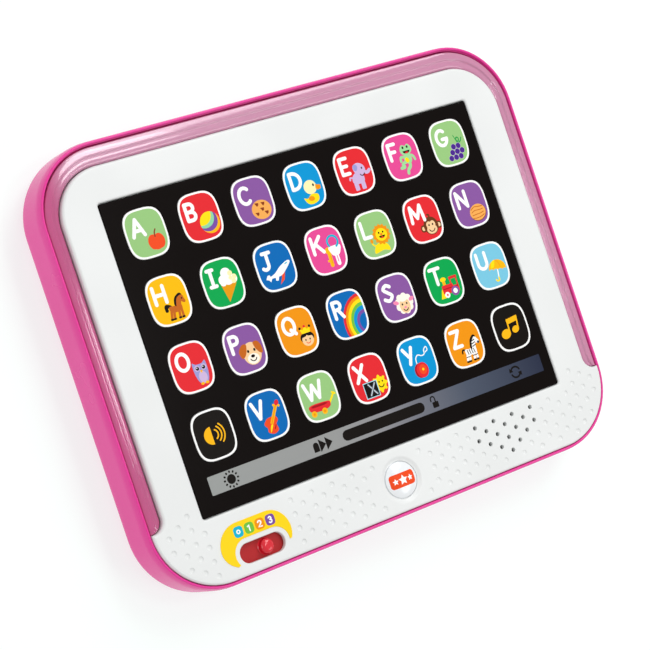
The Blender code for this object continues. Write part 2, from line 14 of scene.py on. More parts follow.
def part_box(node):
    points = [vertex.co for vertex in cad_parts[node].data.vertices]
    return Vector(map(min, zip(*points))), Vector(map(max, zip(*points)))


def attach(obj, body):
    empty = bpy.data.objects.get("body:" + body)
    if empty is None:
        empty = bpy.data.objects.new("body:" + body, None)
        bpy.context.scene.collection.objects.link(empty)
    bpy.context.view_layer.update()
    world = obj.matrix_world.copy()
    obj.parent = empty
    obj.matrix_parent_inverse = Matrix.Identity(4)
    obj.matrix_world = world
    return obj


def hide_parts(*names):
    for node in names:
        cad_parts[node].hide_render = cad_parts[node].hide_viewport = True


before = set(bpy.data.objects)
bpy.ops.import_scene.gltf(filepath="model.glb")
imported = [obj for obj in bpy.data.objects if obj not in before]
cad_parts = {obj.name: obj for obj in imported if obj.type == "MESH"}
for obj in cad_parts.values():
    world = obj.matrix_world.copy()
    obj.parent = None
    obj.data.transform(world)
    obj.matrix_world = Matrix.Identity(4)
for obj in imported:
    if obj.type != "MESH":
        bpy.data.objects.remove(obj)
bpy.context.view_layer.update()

MM = 0.001

# ---- sizes, read from the CAD or repeated from it


def box_mm(node):
    low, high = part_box(node)
    return low / MM, high / MM


def plan_of(node):
    """Left, right, bottom and top of a node, seen from the front."""
    low, high = box_mm(node)
    return low.x, high.x, low.y, high.y


def heights_of(node):
    low, high = box_mm(node)
    return low.z, high.z


def middle_of(node):
    left, right, bottom, top = plan_of(node)
    return (left + right) / 2, (bottom + top) / 2


GAP = 0.3  # between parts that fit into one another
SHELL = plan_of("rear_shell")
SHELL_BACK, SHELL_TOP = heights_of("rear_shell")
SHELL_CORNER, SHELL_LIP, BACK_RADIUS = 32.0, 1.9, 9.0
_, CHIN_HALF_WIDTH, CHIN_BOTTOM, _ = plan_of("front_bezel")
CHIN_CORNER, CHIN_TOP, CHIN_STEP_RADIUS = 29.8, -66.4, 5.5
FACE_HALF_WIDTH, FACE_TOP, FACE_CORNER = 115.2, 87.7, 22.0
FACE = heights_of("front_bezel")[1]
FLANGE = 21.0
PLATE_UNDERSIDE = FACE - 2.2
PANEL, PANEL_CORNER = plan_of("key_panel"), 0.8
PANEL_BASE, PANEL_TOP = heights_of("key_panel")
WINDOW_CORNER = 1.4
RIM_BASE, RIM_CREST = heights_of("light_rim")
RIM_TOP, RIM_CORNER = plan_of("light_rim")[3], 29.8
KEY_WIDTH, KEY_HEIGHT, KEY_ROUNDNESS = 19.5, 21.8, 3.3
KEY_BASE = heights_of("key_a")[0]
HOME = (0.0, middle_of("home_button")[1])
HOME_RADIUS, HOME_BORE, HOME_DISH = 8.1, 8.5, 10.8
HOME_CREST = heights_of("home_button")[1]
SLOT, SLOT_CORNER = (-86.7, -64.3, -92.1, -83.4), 4.3
GRILLE_X, GRILLE_TOP, HOLE_RADIUS, DOT_STEP = 61.3, -73.3, 1.0, 5.4
GRILLE_COLUMNS = ((0, 2), (1, 3), (0, 2, 4), (1, 3, 5), (0, 2, 4), (1, 3), (0, 2))
DOT_ROW = DOT_STEP / math.sqrt(3)
CLOTH = (GRILLE_X - 19, GRILLE_X + 19, GRILLE_TOP - 18.2, GRILLE_TOP + 2.6)
DOOR = (-33.7, 33.7, -26.7, 26.7)
DOOR_LUG_HALF, DOOR_LUG_REACH, DOOR_SCREW = 6.5, plan_of("battery_door")[3], (0.0, 29.4)
DOOR_LOW, DOOR_HIGH = heights_of("battery_door")
BAY, BAY_CEILING = (-29.2, 29.2, -22.9, 22.9), 17.8
SCREW_NAMES = [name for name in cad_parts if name.startswith("case_screw_")]
WELL_RADIUS, WELL_END, PILOT_RADIUS = 3.2, 11.0, 1.7
HEAD_RADIUS, CASE_SHANK, DOOR_SHANK = 2.8, 1.3, 1.2


# ---- outlines


def polar(centre, radius, degrees):
    angle = math.radians(degrees)
    return centre[0] + radius * math.cos(angle), centre[1] + radius * math.sin(angle)


def arc(centre, radius, start, end, steps, squash=1.0):
    """Points of an arc in degrees. A squash other than 1 makes it part of an ellipse."""
    points = []
    for i in range(steps + 1):
        angle = math.radians(start + (end - start) * i / steps)
        points.append((centre[0] + radius * math.cos(angle), centre[1] + radius * squash * math.sin(angle)))
    return points


def circle(centre, radius, steps):
    return arc(centre, radius, 0, 360, steps)[:-1]


def grown(box, margin):
    left, right, bottom, top = box
    return left - margin, right + margin, bottom - margin, top + margin


WINDOW = grown(PANEL, GAP)


def rounded_box(box, radius, steps):
    left, right, bottom, top = grown(box, -radius)
    points = []
    centres = (right, bottom), (right, top), (left, top), (left, bottom)
    for turn, centre in enumerate(centres):
        points += arc(centre, radius, 90 * turn - 90, 90 * turn, steps)
    return points


def superellipse(centre, width, height, exponent, count=56):
    points = []
    for i in range(count):
        angle = math.tau * i / count
        c, s = math.cos(angle), math.sin(angle)
        x = math.copysign(abs(c) ** (2 / exponent), c) * width / 2
        y = math.copysign(abs(s) ** (2 / exponent), s) * height / 2
        points.append((centre[0] + x, centre[1] + y))
    return points


def mirrored(points):
    return [(-x, y) for x, y in reversed(points)]


def at(outline, height):
    return [(x, y, height) for x, y in outline]


def smooth_through(points, closed=True, steps=6):
    """A Catmull-Rom curve through the points."""
    count = len(points)
    spans = count if closed else count - 1
    curve = []
    for i in range(spans):
        around = (i - 1, i, i + 1, i + 2)
        places = [k % count if closed else min(max(k, 0), count - 1) for k in around]
        a, b, c, d = (Vector(points[place]) for place in places)
        for k in range(steps):
            t = k / steps
            p = b + (c - a) * t / 2 + (2 * a - 5 * b + 4 * c - d) * t * t / 2
            p += (3 * b - a - 3 * c + d) * t**3 / 2
            curve.append(tuple(p))
    return curve if closed else curve + [tuple(points[-1])]


def stroke_outline(path, width, cap_steps=6):
    """The outline of a line drawn along a path with a round pen."""
    half = width / 2
    points = [Vector(p) for p in path]
    sides = ([], [])
    for i, p in enumerate(points):
        along = (points[min(i + 1, len(points) - 1)] - points[max(i - 1, 0)]).normalized()
        across = Vector((-along.y, along.x)) * half
        sides[0].append(tuple(p + across))
        sides[1].append(tuple(p - across))
    first, last = points[1] - points[0], points[-1] - points[-2]
    turn_first, turn_last = (math.degrees(math.atan2(v.y, v.x)) for v in (first, last))
    end_cap = arc(points[-1], half, turn_last + 90, turn_last - 90, cap_steps)[1:-1]
    start_cap = arc(points[0], half, turn_first - 90, turn_first - 270, cap_steps)[1:-1]
    return sides[0] + end_cap + sides[1][::-1] + start_cap


def winds_round(outline, x, y):
    """Whether the outline goes round the point."""
    turns = 0
    for (x0, y0), (x1, y1) in zip(outline, outline[1:] + outline[:1]):
        if (y0 <= y) != (y1 <= y):
            side = (x1 - x0) * (y - y0) - (x - x0) * (y1 - y0)
            if (side > 0) == (y1 > y0):
                turns += 1 if y1 > y0 else -1
    return turns != 0


def middle_of_face(points, face):
    """X and Y of the middle of a triangle."""
    return (sum(points[i][axis] for i in face) / 3 for axis in (0, 1))


def triangulate(loops):
    """Triangles that keep every edge of the loops, which may cross."""
    points, edges = [], []
    for loop in loops:
        start = len(points)
        points += [Vector(point) for point in loop]
        edges += [(start + i, start + (i + 1) % len(loop)) for i in range(len(loop))]
    made = geometry.delaunay_2d_cdt(points, edges, [], 0, 1e-5)
    return made[0], made[2]


# ---- surfaces


class Surface:
    """Faces in millimetres that become one object. Each face wears one of the object's looks."""

    def __init__(self):
        self.points, self.faces, self.face_looks = [], [], []

    def add(self, points, faces, looks):
        """Adds faces that share one look, or that have one each."""
        start = len(self.points)
        self.points += [tuple(point) for point in points]
        self.faces += [[start + i for i in face] for face in faces]
        self.face_looks += looks if isinstance(looks, list) else [looks] * len(faces)

    def strip(self, rings, look, closed=True):
        """Joins each ring to the next one."""
        count = len(rings[0])
        faces = []
        for row in range(len(rings) - 1):
            for i in range(count if closed else count - 1):
                j = (i + 1) % count
                near, far = row * count, (row + 1) * count
                faces.append((near + i, near + j, far + j, far + i))
        self.add([point for ring in rings for point in ring], faces, look)

    def wall(self, outline, start, end, look):
        """A straight wall along an outline, from one height to another."""
        self.strip([at(outline, start), at(outline, end)], look)

    def cap(self, ring, look):
        self.add(ring, [range(len(ring))], look)

    def fill(self, outline, holes, height, look):
        """A flat area between an outline and its holes."""
        points, faces = triangulate([outline, *holes])
        kept = []
        for face in faces:
            x, y = middle_of_face(points, face)
            if winds_round(outline, x, y) and not any(winds_round(hole, x, y) for hole in holes):
                kept.append(face)
        self.add([(point.x, point.y, height) for point in points], kept, look)

    def object(self, name, looks, body, smooth=40):
        """Makes the object, with only those looks that its faces wear, and lets it ride the body."""
        bm = bmesh.new()
        verts = [bm.verts.new(Vector(point) * MM) for point in self.points]
        order = [look for look in looks if look in self.face_looks]
        for face, look in zip(self.faces, self.face_looks):
            made = bm.faces.new([verts[i] for i in face])
            made.material_index = order.index(look)
        bmesh.ops.remove_doubles(bm, verts=bm.verts, dist=0.002 * MM)
        bmesh.ops.delete(bm, geom=[v for v in bm.verts if not v.link_faces], context="VERTS")
        bmesh.ops.recalc_face_normals(bm, faces=bm.faces)
        mesh = bpy.data.meshes.new(name)
        bm.to_mesh(mesh)
        bm.free()
        for look in order:
            mesh.materials.append(looks[look])
        mesh.shade_smooth()
        even_out_normals(mesh, smooth)
        made = bpy.data.objects.new(name, mesh)
        bpy.context.scene.collection.objects.link(made)
        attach(made, body)
        return made


def even_out_normals(mesh, angle):
    """Averages normals by area across every bend below the angle, so that flat areas stay flat."""
    limit = math.cos(math.radians(angle))
    round_vertex = [[] for _ in mesh.vertices]
    for face in mesh.polygons:
        for vertex in face.vertices:
            round_vertex[vertex].append(face)
    normals = []
    for face in mesh.polygons:
        for vertex in face.vertices:
            near = [other for other in round_vertex[vertex] if other.normal.dot(face.normal) > limit]
            total = sum((other.normal * other.area for other in near), face.normal * 1e-12)
            normals.append(total.normalized())
    mesh.normals_split_custom_set(normals)


def rings_of(outline, profile):
    """Rings of an outline that depends on an inset, one for each (inset, height) of the profile."""
    return [at(outline(inset), height) for inset, height in profile]


def turned_rings(centre, profile, steps):
    """Rings about a vertical axis, one for each (radius, height) of the profile."""
    return rings_of(lambda radius: circle(centre, radius, steps), profile)


def quarter(start, end, steps, bulge=1):
    """(a, b) pairs on a quarter ellipse from start to end. It leaves along b, or along a if bulge is -1."""
    pairs = []
    for i in range(steps + 1):
        angle = math.pi / 2 * i / steps
        s, c = math.sin(angle), 1 - math.cos(angle)
        share_a, share_b = (c, s) if bulge > 0 else (s, c)
        pairs.append((start[0] + (end[0] - start[0]) * share_a, start[1] + (end[1] - start[1]) * share_b))
    return pairs


# ---- materials


def linear(code):
    """A colour written as six hexadecimal digits of sRGB, as linear light."""
    values = [int(code[i : i + 2], 16) / 255 for i in (0, 2, 4)]
    return [v / 12.92 if v <= 0.04045 else ((v + 0.055) / 1.055) ** 2.4 for v in values]


def set_inputs(node, **values):
    """Sets sockets by name, with an underscore for each space."""
    for label, value in values.items():
        node.inputs[label.replace("_", " ")].default_value = value


def add_node(tree, kind, **values):
    made = tree.nodes.new(f"ShaderNode{kind}")
    set_inputs(made, **values)
    return made


def noise(tree, scale, detail=2.0):
    """Noise with lumps about 1/scale metres across, fixed to the object."""
    place = add_node(tree, "TexCoord")
    made = add_node(tree, "TexNoise", Scale=scale, Detail=detail)
    tree.links.new(place.outputs["Object"], made.inputs["Vector"])
    return made.outputs["Fac"]


def remapped(tree, value, low, high):
    """Spreads the middle half of a noise over the values from low to high."""
    made = add_node(tree, "MapRange", From_Min=0.25, From_Max=0.75, To_Min=low, To_Max=high)
    made.interpolation_type = "SMOOTHSTEP"
    tree.links.new(value, made.inputs["Value"])
    return made.outputs["Result"]


def raise_grain(tree, shader, height, strength):
    bump = add_node(tree, "Bump", Strength=strength, Distance=0.1 * MM)
    tree.links.new(height, bump.inputs["Height"])
    tree.links.new(bump.outputs["Normal"], shader.inputs["Normal"])


def look(name, code, roughness=0.35, drift=0.06, grain=0.05, grain_scale=1500, **settings):
    """A moulded or printed surface: roughness drifts by a few hundredths, with a fine grain."""
    made = bpy.data.materials.new(name)
    made.use_nodes = True
    tree = made.node_tree
    shader = tree.nodes["Principled BSDF"]
    set_inputs(shader, Base_Color=(*linear(code), 1), **settings)
    rough = remapped(tree, noise(tree, 60), roughness - drift / 2, roughness + drift / 2)
    tree.links.new(rough, shader.inputs["Roughness"])
    raise_grain(tree, shader, noise(tree, grain_scale), grain)
    return made


def tinted(made, code_a, code_b, scale):
    """Lets the colour of a look wander between two tints over lumps of this size."""
    tree = made.node_tree
    mix = add_node(tree, "Mix")
    mix.data_type = "RGBA"
    mix.inputs["A"].default_value = (*linear(code_a), 1)
    mix.inputs["B"].default_value = (*linear(code_b), 1)
    tree.links.new(remapped(tree, noise(tree, scale, 0), 0, 1), mix.inputs["Factor"])
    tree.links.new(mix.outputs["Result"], tree.nodes["Principled BSDF"].inputs["Base Color"])
    return made


def banded(made, stops, start, end):
    """Colours a look by position along X, between two places in millimetres."""
    tree = made.node_tree
    place = add_node(tree, "TexCoord")
    split = add_node(tree, "SeparateXYZ")
    share = add_node(tree, "MapRange", From_Min=start * MM, From_Max=end * MM)
    ramp = add_node(tree, "ValToRGB")
    while len(ramp.color_ramp.elements) < len(stops):
        ramp.color_ramp.elements.new(0.5)
    for element, (position, code) in zip(ramp.color_ramp.elements, stops):
        element.position = position
        element.color = (*linear(code), 1)
    tree.links.new(place.outputs["Object"], split.inputs["Vector"])
    tree.links.new(split.outputs["X"], share.inputs["Value"])
    tree.links.new(share.outputs["Result"], ramp.inputs["Fac"])
    tree.links.new(ramp.outputs["Color"], tree.nodes["Principled BSDF"].inputs["Base Color"])
    return made


INK_CODES = {
    "white": "FCFCFA", "apple_green": "98C77F", "red": "E32C33", "purple": "89589F", "sky_blue": "0A95D2",
    "pink": "E54C95", "amber": "F8BC08", "green": "0AA54F", "blue": "0A69B4", "orange": "EF9412",
    "pale_blue": "7AC6DF", "black": "16120F", "scarlet": "F04E23", "brown": "8A3B1E", "yellow": "FFDF17",
    "mint": "8FD4A5", "violet": "7A4FA3", "tan": "F3AC57", "cocoa": "6B3A1C", "cream": "FBF1B5",
    "lilac": "CDB5DC", "frog_green": "9DDB9A", "leaf": "1E9A48", "grape": "4B2A8C", "horse": "C4661F",
    "milk": "FFF6E6", "cone": "E59A12", "silver": "C9D3DA", "cyan": "18B3D0", "biscuit": "F6CE9C",
    "slate": "3E4650", "ice": "A7DDE8", "owl_blue": "9B9BD3", "rose": "F58BB0", "gold": "FBB917",
    "dark_red": "A8141E", "leaf_green": "72BF44",
}


# ---- printed pictures


class Art:
    """Flat shapes in ink, in millimetres. Each covers those before it and stays inside the tile."""

    def __init__(self, outline, ink, tile, tile_ink):
        self.tile = tile
        self.shapes = [(outline, ink), (tile, tile_ink)]

    def shape(self, ink, *outline):
        self.shapes.append((list(outline), ink))

    def blob(self, ink, *points):
        self.shape(ink, *smooth_through(points))

    def oval(self, ink, x, y, half_width, half_height=None, tilt=0):
        half_height = half_width if half_height is None else half_height
        c, s = math.cos(math.radians(tilt)), math.sin(math.radians(tilt))
        count = 32 if half_width > 1 else 14
        points = [(half_width * a, half_height * b) for a, b in circle((0, 0), 1, count)]
        self.shape(ink, *((x + a * c - b * s, y + a * s + b * c) for a, b in points))

    def box(self, ink, left, right, bottom, top, radius=0.3):
        self.shape(ink, *rounded_box((left, right, bottom, top), radius, 3))

    def line(self, ink, width, *path):
        self.shape(ink, *stroke_outline(path, width))

    def curve(self, ink, width, *points):
        self.line(ink, width, *smooth_through(points, closed=False))

    def triangles(self):
        """Points, faces and the ink of each face."""
        points, faces = triangulate([outline for outline, _ in self.shapes])
        boxes = []
        for outline, ink in self.shapes:
            xs, ys = zip(*outline)
            boxes.append((min(xs), max(xs), min(ys), max(ys), outline, ink))
        kept, inks = [], []
        for face in faces:
            x, y = middle_of_face(points, face)
            on_tile = winds_round(self.tile, x, y)
            for left, right, bottom, top, outline, ink in reversed(boxes if on_tile else boxes[:1]):
                if left <= x <= right and bottom <= y <= top and winds_round(outline, x, y):
                    kept.append(face)
                    inks.append(ink)
                    break
        return points, kept, inks

    def lay_on(self, surface, centre, height):
        points, faces, inks = self.triangles()
        surface.add([(p.x + centre[0], p.y + centre[1], height) for p in points], faces, inks)


LETTER_LEFT, LETTER_FOOT, LETTER_HEIGHT, PEN = -6.1, -0.5, 7.2, 1.65


def glyph_paths(letter):
    """The pen's paths for a capital letter, from its lower left corner."""
    h = LETTER_HEIGHT
    stem = [(0, 0), (0, h)]
    upper_bowl = [(0, h)] + arc((2.0, h - 1.75), 1.75, 90, -90, 8) + [(0, h - 3.5)]
    bend = ((4.2, 6.2), (2.3, 7.1), (0.5, 5.6), (2.3, 3.8), (4.2, 2.0), (2.3, 0), (0, 1))
    paths = {
        "A": [[(0, 0), (2.7, h)], [(2.7, h), (5.4, 0)], [(1.1, 2.3), (4.3, 2.3)]],
        "B": [stem, upper_bowl, [(0, h - 3.5)] + arc((2.2, 1.8), 1.8, 90, -90, 8) + [(0, 0)]],
        "C": [arc((2.8, h / 2), 2.8, 48, 312, 16, squash=1.28)],
        "D": [stem, [(0, h)] + arc((1.2, h / 2), h / 2, 90, -90, 12) + [(0, 0)]],
        "E": [stem, [(0, h), (3.6, h)], [(0, h / 2), (3.1, h / 2)], [(0, 0), (3.6, 0)]],
        "F": [stem, [(0, h), (3.6, h)], [(0, h / 2), (3.0, h / 2)]],
        "G": [arc((2.8, h / 2), 2.8, 50, 350, 16, squash=1.28), [(3.0, 2.9), (5.4, 2.9)]],
        "H": [stem, [(5.0, 0), (5.0, h)], [(0, h / 2), (5.0, h / 2)]],
        "I": [[(1.5, 0), (1.5, h)], [(0.1, 0), (2.9, 0)], [(0.1, h), (2.9, h)]],
        "J": [[(3.2, h), (3.2, 2)] + arc((1.5, 1.8), 1.7, 0, -140, 8), [(1.4, h), (5.0, h)]],
        "K": [stem, [(0.4, 3.0), (4.6, h)], [(1.8, 4.2), (4.9, 0)]],
        "L": [stem, [(0, 0), (3.7, 0)]],
        "M": [[(0, 0), (0.7, h)], [(0.7, h), (3.4, 1.6)], [(3.4, 1.6), (6.1, h)], [(6.1, h), (6.8, 0)]],
        "N": [stem, [(0, h), (4.9, 0)], [(4.9, 0), (4.9, h)]],
        "O": [arc((2.8, h / 2), 2.8, 0, 360, 24, squash=1.28)],
        "P": [stem, upper_bowl],
        "Q": [arc((2.8, h / 2), 2.8, 0, 360, 24, squash=1.28), [(3.4, 1.8), (5.4, -0.3)]],
        "R": [stem, upper_bowl, [(2.0, h - 3.5), (4.1, 0)]],
        "S": [smooth_through(bend, closed=False)],
        "T": [[(2.6, 0), (2.6, h)], [(0, h), (5.2, h)]],
        "U": [[(0, h), (0, 2.6)] + arc((2.4, 2.4), 2.4, 180, 360, 10) + [(4.8, h)]],
        "V": [[(0, h), (2.5, 0)], [(2.5, 0), (5.0, h)]],
        "W": [[(0, h), (2.1, 0)], [(2.1, 0), (4.2, h - 1)], [(4.2, h - 1), (6.3, 0)], [(6.3, 0), (8.4, h)]],
        "X": [[(0, h), (4.6, 0)], [(4.6, h), (0, 0)]],
        "Y": [[(0, h), (2.3, 3.4)], [(4.6, h), (2.0, 0)]],
        "Z": [[(0, h), (4.4, h)], [(4.4, h), (0, 0)], [(0, 0), (4.4, 0)]],
    }
    return paths[letter]


def draw_letter(art, letter):
    for path in glyph_paths(letter):
        art.line("white", PEN, *((x + LETTER_LEFT, y + LETTER_FOOT) for x, y in path))


def smile(art, x, y, radius, ink="black", width=0.45):
    art.line(ink, width, *arc((x, y), radius, 200, 340, 8))


def eyes(art, x, y, apart, radius=0.5, ink="black"):
    for side in (-1, 1):
        art.oval(ink, x + side * apart, y, radius, radius * 1.25)


def draw_apple(art):
    art.oval("scarlet", 2.1, -4.6, 2.6, 3.3)
    art.oval("scarlet", 4.8, -4.6, 2.6, 3.3)
    art.oval("scarlet", 3.4, -5.1, 2.9, 3.1)
    art.curve("brown", 0.6, (3.4, -2.4), (3.6, -0.8), (4.4, 0.6))


def draw_ball(art):
    centre, radius = Vector((3.5, -3.4)), 4.8
    art.oval("gold", *centre, radius)
    for ink, shift in (("violet", 1.5), ("mint", 3.6), ("yellow", 5.4)):
        outline = []
        for x, y in circle(centre + Vector((-0.62, 0.78)) * shift, radius * 1.02, 40):
            offset = Vector((x, y)) - centre
            outline.append(tuple(centre + offset * min(1, radius / offset.length)))
        art.shape(ink, *outline)


def draw_cookie(art):
    art.oval("tan", 2.6, -4.5, 4.9, 4.3)
    for x, y in ((0.9, -1.9), (4.0, -2.1), (3.0, -4.4), (0.0, -6.0), (4.7, -6.2)):
        art.shape("brown", (x - 1.0, y + 0.7), (x + 1.0, y + 0.5), (x + 0.7, y - 0.5), (x - 0.1, y - 1.0))


def draw_duck(art):
    body = ((-2.2, -5.4), (-0.4, -5.9), (2.0, -4.4), (5.3, -5.0), (5.0, -7.6), (2.0, -8.8), (-0.9, -8.1))
    art.blob("yellow", *body)
    art.oval("orange", 1.5, -6.3, 1.6, 1.1, -10)
    art.oval("cream", 2.5, -1.2, 3.3, 3.2)
    art.shape("orange", (5.4, -0.6), (7.9, -1.3), (7.7, -2.9), (5.9, -3.3), (5.0, -2.4))
    art.oval("black", 4.3, -0.6, 0.45, 0.65)


def draw_elephant(art):
    art.curve("lilac", 0.8, (-1.6, -3.0), (-3.2, -2.6), (-3.5, -3.6))
    for x in (-1.0, 2.6):
        art.box("lilac", x - 1.1, x + 1.1, -9.0, -4.2, 0.4)
    art.blob("lilac", (-1.8, -2.4), (0.8, -0.8), (3.6, -1.6), (3.9, -5.2), (0.8, -6.2), (-2.2, -5.2))
    art.blob("lilac", (-0.2, 2.2), (2.6, 3.2), (5.4, 1.6), (5.6, -1.4), (2.8, -2.6), (0.0, -0.8))
    art.curve("lilac", 1.6, (4.6, -1.2), (6.4, -2.0), (7.8, -1.2))
    art.blob("owl_blue", (-0.1, 2.4), (1.4, 2.7), (2.2, 1.4), (1.2, -0.2), (-0.1, 0.4))
    art.oval("black", 4.2, 0.5, 0.35, 0.55)
    smile(art, 3.7, -1.7, 1.2)


def draw_frog(art):
    for path in (((1.0, -0.4), (-0.9, -0.2), (-1.4, -2.0)), ((4.0, 0.0), (5.6, -0.8), (6.3, -2.6))):
        art.curve("frog_green", 1.2, *path)
    art.curve("frog_green", 1.5, (1.4, -2.6), (-0.9, -3.4), (-0.4, -4.8), (-2.2, -5.0))
    art.curve("frog_green", 1.5, (3.0, -2.6), (2.7, -5.0), (1.2, -6.4), (0.6, -8.0))
    art.oval("frog_green", 2.6, -1.4, 2.1, 2.5, 20)
    art.oval("yellow", 2.0, -2.0, 1.0, 1.3, 20)
    brow = ((-0.4, 2.6), (0.6, 4.9), (1.9, 5.1), (2.9, 4.5), (4.2, 5.2), (5.4, 4.4), (5.9, 2.0))
    art.blob("frog_green", *brow, (3.4, 0.2), (0.8, 0.6))
    for x in (1.6, 4.0):
        art.oval("black", x, 3.9, 0.5, 0.6)
    art.shape("black", *arc((2.9, 2.4), 2.0, 185, 355, 12, squash=0.75))
    art.oval("red", 3.0, 1.4, 0.9, 0.45)


def draw_grapes(art):
    art.oval("leaf", 4.9, 0.6, 1.0, 1.3)
    art.oval("apple_green", 4.9, 0.6, 0.45, 0.7)
    art.curve("leaf", 0.4, (4.6, -1.4), (4.0, 0.4), (3.2, 2.8))
    art.curve("leaf", 0.5, (4.9, -1.3), (6.4, -0.4), (7.2, 1.0))
    for row, (x, y) in enumerate(((1.6, -2.3), (0.2, -4.8), (-1.3, -7.3))):
        for i in range(min(row + 2, 3)):
            art.oval("lilac", x + 2.75 * i, y, 1.42)
            art.oval("grape", x + 2.75 * i, y, 1.3)


def four_legs(art, ink, hoof):
    for x, foot in ((-0.4, -1.2), (0.8, 0.2), (3.2, 2.8), (4.4, 4.4)):
        art.line(ink, 1.2, (x, -4.6), (foot, -7.8))
        art.box(hoof, foot - 0.8, foot + 0.7, -8.9, -8.0, 0.3)


def draw_horse(art):
    art.curve("black", 1.6, (-0.4, -3.0), (-2.2, -2.4), (-2.4, -4.2))
    four_legs(art, "horse", "black")
    art.blob("horse", (-1.0, -3.0), (1.8, -3.0), (4.6, -2.6), (4.9, -5.0), (1.8, -5.9), (-0.8, -5.2))
    art.curve("black", 2.3, (2.9, -2.4), (3.6, -0.4), (5.3, 0.7))
    art.curve("horse", 2.3, (3.7, -3.4), (4.5, -1.0), (5.8, -0.3))
    art.blob("horse", (5.2, 0.4), (6.2, 0.4), (7.4, -2.0), (6.6, -2.8), (5.0, -1.4))
    art.oval("black", 6.0, -0.7, 0.35)


def draw_ice_cream(art):
    art.shape("cone", (-1.2, -0.6), (6.4, -1.4), (0.5, -8.8))
    for scoop in ((0.6, 1.0, 2.3), (3.0, 1.0, 2.6), (5.4, 0.6, 2.0), (2.6, 3.6, 2.5), (0.2, -0.1, 1.5)):
        art.oval("white", *scoop)
    for lump in ((4.6, 3.2, 1.2), (6.2, 1.4, 1.1), (5.4, -0.4, 1.1), (4.2, 1.2, 0.9)):
        art.oval("cream", *lump)


def draw_jet(art):
    art.shape("white", (-6.4, -4.6), (-5.2, -3.0), (-4.2, -3.0), (-3.4, -4.8), (-4.4, -6.2), (-5.0, -5.2))
    art.shape("scarlet", (2.2, -3.0), (4.2, -2.4), (2.4, -6.6), (-0.2, -8.4), (1.4, -5.6))
    hull = ((-5.4, -4.4), (-2.8, -4.8), (1.6, -4.6), (5.2, -2.2), (7.6, 0.3), (6.2, 1.0))
    art.blob("white", *hull, (2.2, -0.6), (-1.4, -3.0))
    art.shape("white", (-1.6, -4.4), (0.8, -3.6), (-0.6, -6.4), (-1.8, -6.2))
    art.line("cyan", 0.5, (4.9, -0.2), (6.0, 0.2))


def draw_keys(art):
    art.oval("gold", 1.1, -0.6, 1.9, 1.6)
    art.line("gold", 1.9, (1.0, -1.0), (0.8, -7.2))
    art.box("gold", -0.9, 0.6, -5.6, -4.6, 0.2)
    art.line("cone", 0.4, (1.3, -3.0), (1.2, -6.6))
    bow = ((1.4, 0.6), (4.6, 1.0), (7.6, 0.6), (7.2, -1.6), (5.8, -3.4), (3.0, -3.4), (1.8, -1.6))
    art.blob("white", *bow)
    art.line("white", 2.0, (4.5, -2.6), (4.5, -7.2))
    art.line("pink", 0.4, (4.5, -3.6), (4.5, -6.4))
    art.line("cyan", 1.0, *arc((4.4, 2.8), 2.7, -60, 215, 20))


def draw_lion(art):
    art.curve("yellow", 0.7, (-1.0, -5.6), (-2.8, -4.2), (-3.0, -2.8))
    art.oval("orange", -3.0, -2.6, 0.8, 1.0)
    art.blob("yellow", (-1.6, -5.0), (1.6, -4.2), (4.6, -5.6), (5.2, -8.6), (1.8, -7.8), (-3.0, -8.4))
    rays = 14
    mane = []
    for i in range(2 * rays):
        radius = 4.9 if i % 2 else 4.1
        mane.append(polar((3.0, -0.7), radius, 180 * i / rays))
    art.shape("orange", *mane)
    art.oval("yellow", 3.0, -0.8, 3.1, 2.9)
    eyes(art, 3.0, 0.2, 1.1, 0.4)
    art.oval("scarlet", 3.0, -0.7, 0.6, 0.4)
    art.shape("black", *arc((3.1, -1.3), 1.6, 180, 360, 10, squash=0.8))
    art.oval("scarlet", 3.1, -2.1, 0.7, 0.35)


def draw_monkey(art):
    for side in (-1, 1):
        art.oval("cocoa", 3.0 + 4.4 * side, -4.4, 1.5, 1.7)
        art.oval("biscuit", 3.0 + 4.4 * side, -4.4, 0.8, 1.0)
    art.oval("cocoa", 3.0, -3.9, 4.0, 4.2)
    art.curve("cocoa", 0.8, (3.0, -0.4), (3.4, 1.0), (2.6, 1.4))
    for x in (2.0, 4.0):
        art.oval("biscuit", x, -3.4, 1.5, 1.7)
    art.oval("biscuit", 3.0, -5.6, 2.8, 2.1)
    eyes(art, 3.0, -3.4, 1.0, 0.4)
    smile(art, 3.0, -5.0, 1.6)


def draw_nut(art):
    art.oval("cocoa", 3.1, -4.7, 4.6, 3.9, 10)
    art.oval("tan", 3.0, -4.5, 4.5, 3.8, 10)
    for y, bend in ((-2.5, 0.7), (-3.8, 0.3), (-5.2, -0.2), (-6.5, -0.6)):
        art.curve("horse", 0.35, (-0.4, y - 0.4), (1.6, y + bend), (4.2, y + bend * 0.6), (6.2, y + 0.3))


def draw_owl(art):
    ears = ((0.5, 1.2), (2.2, 0.4), (5.0, 0.4), (6.9, 1.2))
    art.blob("owl_blue", *ears, (7.0, -4.0), (5.6, -7.8), (2.2, -7.8), (0.6, -4.0))
    art.oval("lilac", 3.9, -5.4, 2.0, 2.6)
    for side in (-1, 1):
        art.oval("lilac", 3.9 + 1.6 * side, -1.3, 1.3)
        art.oval("black", 3.9 + 1.5 * side, -1.4, 0.85)
        art.oval("white", 3.7 + 1.5 * side, -1.1, 0.25)
        art.oval("gold", 3.9 + 1.1 * side, -8.0, 0.9, 0.6)
    art.shape("gold", (3.1, -2.4), (4.7, -2.4), (3.9, -3.8))


